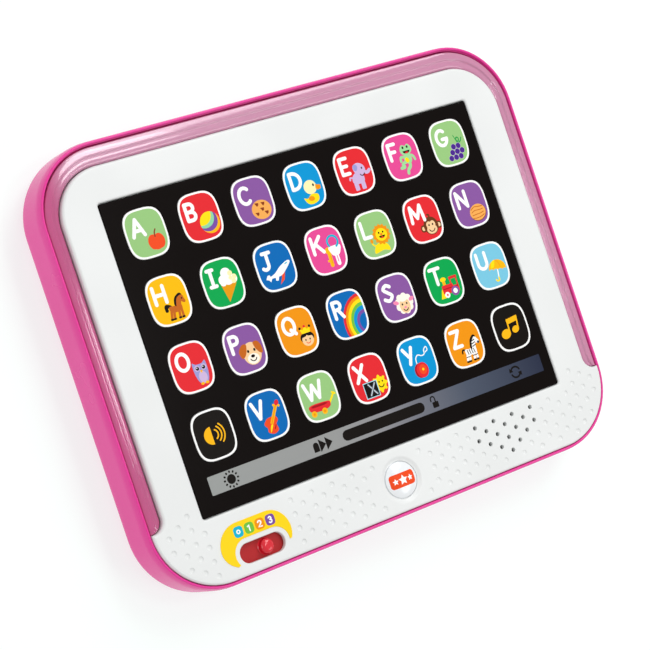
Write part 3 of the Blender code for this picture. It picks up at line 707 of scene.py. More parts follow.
def draw_puppy(art):
    art.oval("biscuit", 2.6, -2.7, 4.5, 5.0)
    art.oval("milk", 2.6, -5.0, 2.9, 2.3)
    art.blob("horse", (-1.4, 1.9), (0.9, 1.6), (-0.2, -2.2), (-2.5, -3.8), (-3.5, -0.8))
    art.blob("horse", (6.6, 1.9), (4.3, 1.6), (5.4, -2.2), (7.6, -3.8), (8.0, -0.8))
    eyes(art, 2.6, -1.4, 1.6, 0.55)
    art.oval("black", 2.6, -3.9, 1.0, 0.7)
    smile(art, 2.6, -4.4, 1.6)


def draw_queen(art):
    art.oval("black", 3.9, -3.9, 3.5, 2.6)
    art.oval("biscuit", 3.9, -5.0, 2.9, 2.7)
    fringe = ((0.9, -3.4), (2.0, -1.8), (5.8, -1.8), (6.9, -3.4), (4.6, -3.3), (3.9, -2.8), (3.2, -3.3))
    art.blob("black", *fringe)
    crown = ((1.8, -1.9), (1.3, 0.7), (2.7, -0.3), (3.9, 1.3), (5.1, -0.3), (6.6, 0.7), (6.1, -1.9))
    art.shape("yellow", *crown)
    for x, y, ink in ((1.5, 0.7, "black"), (3.9, 1.2, "red"), (6.5, 0.7, "black")):
        art.oval(ink, x, y, 0.6)
    eyes(art, 3.9, -4.8, 1.1, 0.35)
    smile(art, 3.9, -5.4, 1.1, "scarlet", 0.35)


def draw_rainbow(art):
    bands = (("red", 11.7), ("orange", 10.5), ("yellow", 9.3), ("leaf_green", 7.9), ("sky_blue", 6.5))
    for ink, radius in bands + (("violet", 4.9), ("blue", 3.6)):
        art.oval(ink, 8.4, -5.6, radius, radius * 1.14)


def draw_sheep(art):
    for i in range(9):
        art.oval("milk", *polar((3.0, -3.6), 3.3, 40 * i), 1.6)
    for side in (-1, 1):
        art.oval("rose", 3.0 + 4.2 * side, -2.4, 1.5, 0.9, 20 * side)
    art.oval("biscuit", 3.0, -4.6, 2.8, 3.4)
    art.oval("milk", 3.0, -1.4, 2.2, 1.3)
    eyes(art, 3.0, -3.8, 1.2, 0.4)
    art.oval("rose", 3.0, -5.4, 0.7, 0.5)
    smile(art, 3.0, -5.6, 1.3)


def draw_train(art):
    art.shape("yellow", (-2.6, -3.4), (-1.4, -3.4), (-1.4, -7.6), (-4.2, -7.6))
    art.box("gold", -1.2, 0.4, -2.0, 0.4, 0.2)
    art.oval("yellow", -0.4, 0.9, 1.6, 1.0)
    art.box("red", -2.2, 4.0, -6.0, -1.8, 0.6)
    art.box("red", 2.6, 7.2, 0.2, 1.4, 0.5)
    for x in (3.2, 6.6):
        art.line("red", 0.7, (x, 0.8), (x, -4.0))
    art.box("red", 2.8, 7.0, -6.0, -3.0, 0.4)
    art.line("dark_red", 0.4, (-1.6, -3.6), (6.6, -3.6))
    art.oval("white", -0.4, -6.4, 1.4)
    art.oval("red", -0.4, -6.4, 0.5)
    art.oval("purple", 4.4, -5.6, 2.2)
    art.oval("white", 4.4, -5.6, 1.2)


def draw_umbrella(art):
    art.line("white", 0.6, (3.6, -1.0), (2.6, -6.6))
    art.line("yellow", 0.8, (2.6, -6.4), *arc((1.8, -7.0), 0.9, -10, -170, 6))
    canopy = arc((3.4, -2.4), 4.9, -8, 172, 18, squash=0.9)
    scallops = []
    for i in range(4):
        share = (i + 0.5) / 4
        x, y = -1.5 + 9.8 * share, -1.7 - 1.4 * share
        scallops += arc((x, y - 0.6), 1.24, 172, -8, 5, squash=0.5)
    art.shape("gold", *canopy, *scallops)
    art.blob("yellow", (0.0, -1.0), (1.0, 1.2), (3.0, 2.0), (2.0, -0.8), (0.8, -1.4))
    art.curve("orange", 0.3, (3.5, 1.9), (4.8, 0.2), (5.2, -2.0))


def draw_violin(art):
    upper_half = ((-2.8, -3.6), (-1.0, -1.6), (1.2, -1.2), (3.4, -1.4), (4.2, -3.2), (3.0, -4.8))
    art.blob("scarlet", *upper_half, (3.2, -7.4), (0.8, -8.6), (-1.8, -7.4), (-1.8, -5.4))
    art.line("gold", 1.5, (1.0, -3.8), (5.4, 3.0))
    art.line("orange", 0.5, (0.6, -4.4), (5.2, 2.8))
    art.oval("red", 6.0, 3.9, 1.3, 1.0, 55)
    for x, y in ((4.3, 3.2), (6.6, 2.4)):
        art.oval("gold", x, y, 0.6)
    art.blob("yellow", (-0.9, -7.8), (0.8, -5.6), (1.2, -4.6), (0.0, -5.0))
    art.line("dark_red", 0.5, (1.6, -6.6), (2.6, -5.2))


def draw_wagon(art):
    art.line("yellow", 0.9, (3.6, -4.8), (7.4, -0.4))
    art.line("yellow", 0.8, (6.7, 0.0), (8.0, -0.9))
    tub = ((-6.7, -3.4), (-4.0, -2.6), (2.0, -2.8), (4.4, -3.4), (3.8, -5.6), (0.0, -6.4), (-5.6, -5.8))
    art.blob("red", *tub)
    art.shape("dark_red", (-5.6, -3.6), (-4.4, -3.1), (2.0, -3.2), (3.2, -3.8), (1.0, -4.2), (-4.6, -4.1))
    for x in (-4.9, 0.6):
        art.oval("gold", x, -6.8, 1.4)
        art.oval("orange", x, -6.8, 0.6)


def draw_xray(art):
    for i in range(8):
        art.oval("yellow", *polar((4.6, -3.9), 3.4, 45 * i), 0.7)
    art.oval("yellow", 4.6, -3.9, 3.2)
    eyes(art, 5.2, -3.0, 0.9, 0.35)
    smile(art, 5.1, -4.1, 1.4)
    art.box("ice", -4.3, 3.2, -8.8, -1.5, 0.2)
    art.box("black", -3.9, 2.8, -8.4, -1.9, 0.1)
    for start, end in (((-1.6, -2.6), (1.8, -7.6)), ((1.8, -2.6), (-1.6, -7.6))):
        art.line("slate", 1.2, start, end)
        art.line("silver", 0.5, start, end)


def draw_yoyo(art):
    string = ((-0.9, -1.8), (-0.7, 1.0), (0.8, 2.4), (2.8, 1.6), (4.4, 2.0))
    art.curve("white", 0.5, *string, (4.8, 3.8), (6.2, 4.9), (6.6, 3.4), (5.2, 2.6))
    art.oval("dark_red", -0.2, -4.6, 3.0, 3.4)
    art.oval("red", 1.0, -4.6, 3.2, 3.5)
    art.oval("scarlet", 1.3, -4.4, 2.0, 2.3)
    art.oval("yellow", 1.4, -4.4, 0.6)


def draw_zebra(art):
    art.curve("black", 0.8, (-0.6, -3.2), (-2.2, -2.6), (-2.8, -4.0))
    four_legs(art, "white", "black")
    art.blob("white", (-1.0, -2.8), (1.8, -3.0), (4.6, -2.2), (4.9, -5.0), (1.8, -5.8), (-0.8, -5.2))
    art.curve("black", 2.4, (3.3, -2.4), (4.0, 0.2), (5.4, 1.6))
    art.curve("white", 2.0, (4.0, -3.4), (4.7, -0.6), (5.8, 0.6))
    art.blob("white", (5.0, 1.2), (6.2, 1.6), (7.8, -0.8), (7.0, -1.8), (5.4, -0.6))
    art.oval("slate", 7.2, -1.2, 0.7, 0.6)
    for x in (0.0, 1.2, 2.4, 3.6):
        art.line("black", 0.45, (x, -3.3), (x + 0.3, -5.2))
    for y in (-2.4, -1.2, 0.0):
        art.line("black", 0.45, (3.6, y), (5.4, y + 0.5))
    for x in (-0.8, 0.5, 3.0, 4.4):
        art.line("black", 0.4, (x - 0.6, -6.4), (x + 0.4, -6.3))


def draw_sound(art):
    art.shape("gold", *arc((-0.9, -0.2), 3.9, 90, 270, 20))
    for radius, reach in ((2.2, 62), (3.8, 54), (5.3, 48)):
        art.line("gold", 0.65, *arc((-0.2, -0.1), radius, -reach, reach, 12))


def draw_notes(art):
    art.oval("gold", -3.5, -2.4, 2.7, 2.2, 15)
    art.oval("gold", 2.3, -1.6, 2.0, 1.6, 15)
    art.line("gold", 0.8, (-1.3, -2.0), (-1.1, 3.8))
    art.line("gold", 0.8, (3.9, -1.2), (4.6, 4.2))
    art.shape("gold", (-1.5, 4.0), (4.9, 4.7), (4.7, 2.2), (-1.2, 1.6))


KEY_ART = {
    "a": ("apple_green", draw_apple), "b": ("red", draw_ball), "c": ("purple", draw_cookie),
    "d": ("sky_blue", draw_duck), "e": ("red", draw_elephant), "f": ("pink", draw_frog),
    "g": ("apple_green", draw_grapes), "h": ("amber", draw_horse), "i": ("green", draw_ice_cream),
    "j": ("blue", draw_jet), "k": ("pink", draw_keys), "l": ("apple_green", draw_lion),
    "m": ("red", draw_monkey), "n": ("purple", draw_nut), "o": ("red", draw_owl),
    "p": ("purple", draw_puppy), "q": ("orange", draw_queen), "r": ("blue", draw_rainbow),
    "s": ("purple", draw_sheep), "t": ("green", draw_train), "u": ("pale_blue", draw_umbrella),
    "v": ("blue", draw_violin), "w": ("apple_green", draw_wagon), "x": ("red", draw_xray),
    "y": ("sky_blue", draw_yoyo), "z": ("orange", draw_zebra), "sound": ("black", draw_sound),
    "music": ("black", draw_notes),
}


# ---- the screen: panel and keys


def key_outline(centre, margin=0.0):
    return superellipse(centre, KEY_WIDTH + 2 * margin, KEY_HEIGHT + 2 * margin, KEY_ROUNDNESS)


def make_key(name, looks):
    ground, draw = KEY_ART[name]
    centre = middle_of(f"key_{name}")
    edge, border = 0.15, 0.88
    art = Art(key_outline((0, 0), -edge), "white", key_outline((0, 0), -border), ground)
    draw(art)
    if len(name) == 1:
        draw_letter(art, name.upper())
    key = Surface()
    art.lay_on(key, centre, PANEL_TOP)
    profile = [(0, KEY_BASE)] + quarter((0, PANEL_TOP - edge), (edge, PANEL_TOP), 3)
    key.strip(rings_of(lambda inset: key_outline(centre, -inset), profile), "white")
    piece = key.object(f"printed_key_{name}", looks, f"key_{name}")
    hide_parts(f"key_{name}")


BAR_ENDS = (-89.9, 91.9)


def draw_control_bar(art):
    """The strip under the keys: a sun, a fast-forward sign, a track, a padlock and a pair of arrows."""
    middle = -55.8
    art.box("bar", *BAR_ENDS, middle - 4.05, middle + 4.15, 0.5)
    sun_x = -79.1
    art.oval("black", sun_x, middle, 2.1)
    for i in range(12):
        near, far = (polar((sun_x, middle), radius, 30 * i) for radius in (3.15, 3.4))
        art.line("black", 0.85, near, far)
    tab = arc((-35.5, middle + 0.5), 1.45, 0, 180, 10)
    art.shape("black", *tab, (-36.95, middle - 2.3), (-34.05, middle - 2.3))
    for x in (-33.7, -30.3):
        art.shape("black", (x, middle + 2.9), (x + 3.4, middle), (x, middle - 2.9))
    art.box("black", -21.3, 23.5, middle - 2.4, middle + 2.4, 2.3)
    lock_x = 29.6
    art.box("black", lock_x - 1.6, lock_x + 1.6, middle - 2.4, middle + 0.3, 0.3)
    shackle = [(lock_x - 2.0, middle + 0.9)] + arc((lock_x - 0.9, middle + 1.8), 1.1, 180, 0, 8)
    art.line("black", 0.65, *shackle, (lock_x + 0.2, middle))
    for start in (20, 200):
        path = arc((76.4, middle), 2.5, start, start + 125, 10)
        art.line("black", 0.85, *path)
        tip, before = Vector(path[-1]), Vector(path[-3])
        ahead = (tip - before).normalized()
        across = Vector((-ahead.y, ahead.x))
        art.shape("black", tip + ahead * 1.7, tip + across * 1.4, tip - across * 1.4)


def make_panel(looks, body):
    windows = [key_outline(middle_of(f"key_{name}"), GAP) for name in KEY_ART]
    edge = 0.25

    def outline(inset):
        return rounded_box(grown(PANEL, -inset), PANEL_CORNER, 4)

    art = Art(outline(edge), "panel", outline(edge), "panel")
    draw_control_bar(art)
    for window in windows:
        art.shape("window", *window)
    panel = Surface()
    art.lay_on(panel, (0, 0), PANEL_TOP)
    # The windows of the keys are cut out of the print.
    kept = [(face, ink) for face, ink in zip(panel.faces, panel.face_looks) if ink != "window"]
    panel.faces, panel.face_looks = (list(part) for part in zip(*kept))
    for window in windows:
        panel.wall(window, PANEL_TOP, PANEL_BASE, "panel")
    profile = [(0, PANEL_BASE)] + quarter((0, PANEL_TOP - edge), (edge, PANEL_TOP), 3)
    panel.strip(rings_of(outline, profile), "panel")
    piece = panel.object("printed_panel", looks, body)
    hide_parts("key_panel")


# ---- casing


def face_outline(inset=0.0):
    """The white face: narrow beside the clear rim, and the full width of the casing at its chin."""
    side, top, corner = FACE_HALF_WIDTH - inset, FACE_TOP - inset, FACE_CORNER - inset
    chin, bottom, step_y = CHIN_HALF_WIDTH - inset, CHIN_BOTTOM + inset, CHIN_TOP - inset
    chin_corner, step = CHIN_CORNER - inset, CHIN_STEP_RADIUS + inset
    if step_y - bottom < chin_corner + 0.05:
        chin_corner = step_y - bottom - 0.05
    step = min(step, chin - side - 0.05)
    right = arc((chin - chin_corner, bottom + chin_corner), chin_corner, -90, 0, 16)
    right += [(chin, step_y)]
    right += arc((side + step, step_y + step), step, 270, 180, 8)
    right += arc((side - corner, top - corner), corner, 0, 90, 16)
    return right + mirrored(right)


def grille_holes():
    middle = (len(GRILLE_COLUMNS) - 1) / 2
    for column, rows in enumerate(GRILLE_COLUMNS):
        for row in rows:
            yield GRILLE_X + (column - middle) * DOT_STEP, GRILLE_TOP - row * DOT_ROW


def dimple_places():
    """The chin's dimples continue the grille's grid, mirrored to the left, wherever nothing else is."""
    holes = list(grille_holes())
    edge, label, window = face_outline(3.0), grown(plan_of("level_label"), 1.5), grown(WINDOW, 3.0)
    for column in range(-9, 11):
        for row in range(-3, 8):
            if (column + row) % 2 == 0:
                continue
            for side in (-1, 1):
                x, y = side * (GRILLE_X + column * DOT_STEP), GRILLE_TOP - row * DOT_ROW
                on_window = window[0] < x < window[1] and y > window[2]
                on_label = label[0] < x < label[1] and y < label[3]
                by_button = math.dist((x, y), HOME) < HOME_DISH + 3.2
                by_hole = any(math.dist((x, y), hole) < DOT_ROW for hole in holes)
                if winds_round(edge, x, y) and not (on_window or on_label or by_button or by_hole):
                    yield x, y


def window_outline(margin=0.0):
    return rounded_box(grown(WINDOW, margin), WINDOW_CORNER, 6)


def slot_outline(margin=0.0):
    return rounded_box(grown(SLOT, margin), SLOT_CORNER + margin, 12)


def make_face(looks, body):
    face = Surface()
    edge, bead = 1.4, 1.1
    profile = [(0, FLANGE)] + quarter((0, FACE - edge), (edge, FACE), 5)
    face.strip(rings_of(face_outline, profile), "face")
    profile = quarter((bead, FACE), (0, FACE - bead), 4, bulge=-1) + [(0, PANEL_BASE)]
    face.strip(rings_of(window_outline, profile), "face")
    face.fill(window_outline(), [rounded_box(grown(WINDOW, -2), 1, 6)], PANEL_BASE, "face")

    dimple_radius, dimple_depth, dimple_steps = 1.3, 0.6, 10
    dimples = list(dimple_places())
    bowl = [(dimple_radius, FACE), (dimple_radius * 0.8, FACE - dimple_depth * 0.45)]
    bowl += [(dimple_radius * 0.45, FACE - dimple_depth * 0.9)]
    for place in dimples:
        rings = turned_rings(place, bowl, dimple_steps)
        face.strip(rings, "face")
        face.cap(rings[-1], "face")
    holes = list(grille_holes())
    lip = 0.25
    profile = quarter((HOLE_RADIUS + lip, FACE), (HOLE_RADIUS, FACE - lip), 3, bulge=-1)
    profile.append((HOLE_RADIUS, PLATE_UNDERSIDE))
    for place in holes:
        face.strip(turned_rings(place, profile, 16), "face")
    slot_edge = 0.5
    profile = quarter((slot_edge, FACE), (0, FACE - slot_edge), 3, bulge=-1) + [(0, PLATE_UNDERSIDE)]
    face.strip(rings_of(slot_outline, profile), "face")
    dish, dish_depth = [], 0.9
    for i in range(7):
        share = i / 6
        drop = dish_depth * (1 - math.cos(math.pi * share)) / 2
        dish.append((HOME_DISH + (HOME_BORE - HOME_DISH) * share, FACE - drop))
    dish.append((HOME_BORE, PLATE_UNDERSIDE))
    face.strip(turned_rings(HOME, dish, 48), "face")

    cut = [circle(place, dimple_radius, dimple_steps) for place in dimples]
    cut += [circle(place, HOLE_RADIUS + lip, 16) for place in holes]
    cut += [circle(HOME, HOME_DISH, 48), slot_outline(slot_edge)]
    fill_around(face, face_outline(edge), window_outline(bead), cut, FACE)
    flange_box = grown((-CHIN_HALF_WIDTH, CHIN_HALF_WIDTH, CHIN_BOTTOM, RIM_TOP), -0.2)
    face.fill(rounded_box(flange_box, RIM_CORNER, 12), [face_outline()], FLANGE, "face")
    # A thin black cloth covers the speaker holes from behind.
    cloth_top, cloth_bottom = PLATE_UNDERSIDE - 0.05, PLATE_UNDERSIDE - 0.2
    cloth = rounded_box(CLOTH, 1.5, 4)
    face.wall(cloth, cloth_bottom, cloth_top, "cloth")
    face.cap(at(cloth, cloth_bottom), "cloth")
    face.cap(at(cloth, cloth_top), "cloth")
    piece = face.object("white_face", looks, body)
    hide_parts("front_bezel")


def fill_around(surface, outline, window, small_holes, height):
    """Fills an outline round one big opening and many small convex ones."""
    points, faces = triangulate([outline, window, *small_holes])
    owner = {}
    for number, hole in enumerate(small_holes):
        for x, y in hole:
            owner[round(x, 3), round(y, 3)] = number
    kept = []
    for face in faces:
        # A triangle with all its corners on one small hole fills that hole.
        owners = {owner.get((round(points[i].x, 3), round(points[i].y, 3)), -1 - i) for i in face}
        if len(owners) == 1:
            continue
        x, y = middle_of_face(points, face)
        if winds_round(outline, x, y) and not winds_round(window, x, y):
            kept.append(face)
    surface.add([(point.x, point.y, height) for point in points], kept, "face")


def make_shell(looks, body):
    shell = Surface()
    steps = 16

    def outline(inset):
        return rounded_box(grown(SHELL, -inset), SHELL_CORNER - inset, steps)

    side_low = SHELL_BACK + BACK_RADIUS
    profile = quarter((BACK_RADIUS, SHELL_BACK), (0, side_low), 10, bulge=-1)
    lean, lean_height, edge = 0.7, 5.5, 0.6
    for i in range(7):
        share = i / 6
        profile.append((lean * share**2, SHELL_TOP - lean_height + (lean_height - edge) * share))
    crest = (lean + SHELL_LIP) / 2
    profile += quarter((lean, SHELL_TOP - edge), (crest, SHELL_TOP), 5)[1:]
    profile += quarter((crest, SHELL_TOP), (SHELL_LIP, SHELL_TOP - edge), 5, bulge=-1)[1:]
    channel = SHELL_LIP + GAP - 0.05
    profile += [(SHELL_LIP, SHELL_TOP - 1.5), (channel, SHELL_TOP - 1.6), (channel, FLANGE - 1.5)]
    shell.strip(rings_of(outline, profile), "shell")

    seat_top = DOOR_HIGH + GAP
    lug_x, lug_y = DOOR_LUG_HALF + GAP, DOOR_LUG_REACH + GAP
    left, right, bottom, top = grown(DOOR, GAP)
    seat_outline = [(left, bottom), (right, bottom), (right, top), (lug_x, top), (lug_x, lug_y)]
    seat_outline += [(-lug_x, lug_y), (-lug_x, top), (left, top)]
    screws = [middle_of(name) for name in SCREW_NAMES]
    well_edge = 0.3
    wells = [circle(place, WELL_RADIUS + well_edge, 24) for place in screws]
    shell.fill(outline(BACK_RADIUS), [seat_outline, *wells], SHELL_BACK, "shell")
    shell.wall(seat_outline, SHELL_BACK, seat_top, "shell")
    bore, bore_end = circle(DOOR_SCREW, 2.2, 20), 8.4
    bay = rounded_box(BAY, 0.6, 3)
    shell.fill(seat_outline, [bay, bore], seat_top, "shell")
    shell.wall(bay, seat_top, BAY_CEILING, "shell")
    shell.fill(bay, [], BAY_CEILING, "shell")
    shell.wall(bore, seat_top, bore_end, "shell")
    shell.cap(at(bore, bore_end), "shell")
    rim, wall = (WELL_RADIUS + well_edge, SHELL_BACK), (WELL_RADIUS, SHELL_BACK + well_edge)
    profile = quarter(rim, wall, 3, bulge=-1)
    profile += [(WELL_RADIUS, WELL_END), (PILOT_RADIUS, WELL_END), (PILOT_RADIUS, WELL_END + 4)]
    for place in screws:
        shell.strip(turned_rings(place, profile, 24), "shell")
    piece = shell.object("pink_casing", looks, body)
    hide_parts("rear_shell")


def rim_paths():
    """The outer and inner edges of the clear rim, point for point, from the right foot to the left one."""
    outer, inner = CHIN_HALF_WIDTH, FACE_HALF_WIDTH + GAP
    end, step = CHIN_TOP + GAP, CHIN_STEP_RADIUS - GAP
    inner_corner, inner_top = FACE_CORNER + GAP, FACE_TOP + GAP
    foot = arc((inner + step, end + step), step, 270, 180, 8)
    levels = [foot[-1][1] + share * (RIM_TOP - RIM_CORNER - foot[-1][1]) for share in (0.25, 0.5, 0.75)]
    inside = foot + [(inner, y) for y in levels]
    inside += arc((inner - inner_corner, inner_top - inner_corner), inner_corner, 0, 90, 24)
    outside = [(outer, y) for _, y in foot] + [(outer, y) for y in levels]
    outside += arc((outer - RIM_CORNER, RIM_TOP - RIM_CORNER), RIM_CORNER, 0, 90, 24)
    return outside + mirrored(outside), inside + mirrored(inside)


# Each pair is a share of the way in across the rim, and a height against its crest.
RIM_PROFILE = (
    (0.0, -1.0), (0.02, -0.62), (0.06, -0.42), (0.12, -0.3), (0.2, -0.2), (0.3, -0.1), (0.37, -0.03),
    (0.41, 0.0), (0.45, -0.05), (0.48, -0.26), (0.51, -0.52), (0.56, -0.64), (0.62, -0.6), (0.7, -0.5),
    (0.8, -0.52), (0.88, -0.68), (0.94, -1.0), (0.98, -1.5), (1.0, -2.2),
)


def make_rim(looks, body):
    outside, inside = rim_paths()
    rim = Surface()

    def level(share, height):
        pairs = ((Vector(a), Vector(b)) for a, b in zip(outside, inside))
        return at([a.lerp(b, share) for a, b in pairs], height)

    rings = [level(0, RIM_BASE)]
    rings += [level(share, RIM_CREST + drop) for share, drop in RIM_PROFILE]
    rings += [level(1, RIM_BASE), level(0, RIM_BASE)]
    rim.strip(rings, "rim", closed=False)
    for end in (0, -1):
        rim.cap([ring[end] for ring in rings[:-1]], "rim")
    piece = rim.object("clear_rim", looks, body, smooth=50)
    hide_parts("light_rim")


# ---- controls on the chin


def star(centre, radius):
    return [polar(centre, radius * (1, 0.5)[i % 2], 90 + 36 * i) for i in range(10)]


def make_home_button(looks):
    button = Surface()
    rim_z, step = FACE - 0.9, 0.12
    crest = HOME_CREST - rim_z - step

    def crown(radius):
        return rim_z + step + crest * (1 - (radius / HOME_RADIUS) ** 2.4)

    radii = [HOME_RADIUS * share for share in (1.0, 0.992, 0.98, 0.965)]
    skirt = HOME_BORE - 0.06
    profile = [(skirt, KEY_BASE), (skirt, rim_z - 0.5), (HOME_RADIUS, rim_z - 0.4), (HOME_RADIUS, rim_z)]
    profile += [(r, crown(r)) for r in radii[1:]]
    button.strip(turned_rings(HOME, profile, 48), "button")
    disc = circle((0, 0), radii[-1], 48)
    badge = rounded_box((-6.6, 6.6, -3.2, 3.2), 1.6, 6)
    art = Art(disc, "button", disc, "button")
    for radius in (1.6, 2.8, 4.0, 5.2, 6.0, 6.7, 7.2, 7.55):
        art.shape("button", *circle((0, 0), radius, 48))
    art.shape("scarlet", *badge)
    for x, size in ((-3.9, 1.5), (0, 2.4), (3.9, 1.5)):
        art.shape("white", *star((x, -0.1), size))
    start = len(button.points)
    art.lay_on(button, HOME, 0)
    for i in range(start, len(button.points)):
        x, y, _ = button.points[i]
        button.points[i] = (x, y, crown(math.dist((x, y), HOME)))
    piece = button.object("domed_home_button", looks, "home_button", smooth=60)
    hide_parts("home_button")


def make_level_slider(looks):
    top = heights_of("level_slider")[1]
    plate_top, shoulder = top - 3.4, top - 1.5
    slider = Surface()
    outline = rounded_box(plan_of("level_slider"), 3.0, 8)
    slider.fill(outline, [], plate_top, "plate")
    slider.wall(outline, plate_top, plate_top - 1.2, "plate")
    radius = 3.2
    profile = [(radius + 0.5, plate_top), (radius + 0.12, plate_top + 0.25), (radius, plate_top + 0.7)]
    profile += quarter((radius, shoulder), (0.9, top), 8)
    rings = turned_rings(middle_of("level_slider"), profile, 40)
    slider.strip(rings, "knob")
    slider.cap(rings[-1], "knob")
    piece = slider.object("red_level_slider", looks, "level_slider", smooth=60)
    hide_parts("level_slider")


NUMERALS = {
    "1": [[(-0.5, 0.6), (0.1, 1.1), (0.1, -1.1)]],
    "2": [arc((0, 0.45), 0.65, 160, -30, 8) + [(-0.65, -1.1), (0.75, -1.1)]],
    "3": [arc((0, 0.55), 0.55, 150, -90, 8), arc((0, -0.5), 0.62, 90, -150, 8)],
}


def draw_level_badges(art):
    """Four steps over the slot: a ring for the first, and numbers for the others."""
    y = -77.7
    steps = ((-84.3, "cyan", ""), (-78.9, "leaf_green", "1"), (-73.6, "orange", "2"), (-68.3, "violet", "3"))
    for x, ink, mark in steps:
        art.box(ink, x - 2.3, x + 2.3, y - 2.4, y + 2.4, 1.5)
        for path in NUMERALS.get(mark, []):
            art.line("white", 0.65, *((x + 1.15 * a, y + 1.15 * b) for a, b in path))
        if not mark:
            art.oval("white", x, y, 1.0)
            art.oval(ink, x, y, 0.45)


def label_outline(inset=0.0):
    """An arch over the slot, with a long left foot and a short right one."""
    left, right, _, top = grown(SLOT, 2.3 + inset)
    radius = 6.65 + inset
    right_middle, right_reach = (-69.7, -83.5), 10.0 - inset
    left_middle, left_reach = (-84.3, -84.0), 10.5 - inset
    outline = arc(right_middle, right_reach, -29, 90, 16)
    outline += arc(left_middle, left_reach, 90, 180, 12)
    outline += arc(left_middle, left_reach, 190, 243, 8, squash=0.84)
    outline += arc((left + radius, top - radius), radius, 212, 90, 14)
    outline += arc((right - radius, top - radius), radius, 90, -6, 14)
    return outline


def make_label(looks, body):
    label = Surface()
    top, edge = FACE + 0.25, 0.12
    outline = label_outline(edge)
    art = Art(outline, "label", outline, "label")
    draw_level_badges(art)
    art.lay_on(label, (0, 0), top)
    rim = label_outline()
    label.strip([at(rim, FACE + 0.02), at(rim, top - edge), at(outline, top)], "label")
    piece = label.object("level_sticker", looks, body)
    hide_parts("level_label")


# ---- back: door and screws


def cross_outline(centre, reach, half):
    x, y = centre
    arm = [(half, reach), (-half, reach), (-half, half)]
    points = []
    for c, s in ((1, 0), (0, 1), (-1, 0), (0, -1)):
        points += [(x + a * c - b * s, y + a * s + b * c) for a, b in arm]
    return points


def make_screw(name, looks, body, shank_radius):
    """A pan-head screw whose head faces the back, with a cross recess."""
    low, high = heights_of(name)
    centre = middle_of(name)
    screw = Surface()
    flat, recess_end = HEAD_RADIUS * 0.72, low + 0.5
    recess = cross_outline(centre, HEAD_RADIUS * 0.55, 0.35)
    screw.fill(circle(centre, flat, 28), [recess], low, "steel")
    screw.wall(recess, low, recess_end, "steel")
    screw.fill(recess, [], recess_end, "steel")
    head_top = low + (2.0 if high - low > 10 else 0.6)
    profile = quarter((flat, low), (HEAD_RADIUS, low + 0.45), 4, bulge=-1)
    profile += [(HEAD_RADIUS, head_top), (shank_radius, head_top)]
    height, pitch = head_top + 0.4, 0.9
    while height + pitch < high - 1:
        profile += [(shank_radius * 0.72, height), (shank_radius, height + pitch / 2)]
        height += pitch
    profile += [(shank_radius * 0.7, height), (0.15, high)]
    screw.strip(turned_rings(centre, profile, 28), "steel")
    piece = screw.object(f"cross_head_{name}", looks, body)
    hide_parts(name)


def make_battery_door(looks):
    low_x, high_x, low_y, high_y = DOOR
    door = Surface()
    lug, reach = DOOR_LUG_HALF, DOOR_LUG_REACH
    radius = (DOOR_HIGH - DOOR_LOW) / 2
    axis_y, axis_z = low_y + radius, (DOOR_HIGH + DOOR_LOW) / 2
    outline = [(low_x, axis_y), (high_x, axis_y), (high_x, high_y), (lug, high_y), (lug, reach - 1)]
    outline += [(lug - 1, reach), (1 - lug, reach), (-lug, reach - 1), (-lug, high_y), (low_x, high_y)]
    sink, hole, sink_end = circle(DOOR_SCREW, 3.2, 28), circle(DOOR_SCREW, 1.7, 28), 1.3
    grips, grip_end = [], DOOR_LOW + 0.6
    for row in range(5):
        y = 12.0 - 2.6 * row
        half = 9.0 - 1.5 * row
        grip = rounded_box((-half, half, y - 0.7, y + 0.7), 0.65, 4)
        floor = [(grip_x * 0.93, y + (grip_y - y) * 0.4) for grip_x, grip_y in grip]
        door.strip([at(grip, DOOR_LOW), at(floor, grip_end)], "shell")
        door.fill(floor, [], grip_end, "shell")
        grips.append(grip)
    door.fill(outline, [sink, *grips], DOOR_LOW, "shell")
    door.strip([at(sink, DOOR_LOW), at(sink, sink_end), at(hole, sink_end), at(hole, DOOR_HIGH)], "shell")
    door.wall(outline, DOOR_LOW, DOOR_HIGH, "shell")
    door.fill(outline, [hole], DOOR_HIGH, "shell")
    barrel = []
    pin, pin_end = 0.55, high_x + 1.6
    steps = [(-pin_end, pin), (low_x, pin), (low_x, radius), (high_x, radius), (high_x, pin), (pin_end, pin)]
    for x, size in steps:
        ring = circle((axis_y, axis_z), size, 24)
        barrel.append([(x, y, z) for y, z in ring])
    door.strip(barrel, "shell")
    door.cap(barrel[0], "shell")
    door.cap(barrel[-1], "shell")
    piece = door.object("ribbed_battery_door", looks, "battery_door")
    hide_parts("battery_door")


# ---- looks


def make_inks():
    inks = {}
    for name, code in INK_CODES.items():
        inks[name] = look(f"ink_{name}", code, 0.3, 0.05, 0.02, Specular_IOR_Level=0.07)
    inks["panel"] = look("panel_black", "130F0E", 0.24, 0.05, 0.02, Specular_IOR_Level=0.03)
    # The grey bar turns dark blue towards its right end.
    stops = [(0.0, "999C9A"), (0.36, "969796"), (0.5, "8C8C90"), (0.6, "72747D"), (0.76, "4E5666")]
    stops.append((1.0, "2C3246"))
    inks["bar"] = banded(look("control_bar", "989A99", 0.3, Specular_IOR_Level=0.07), stops, *BAR_ENDS)
    return inks


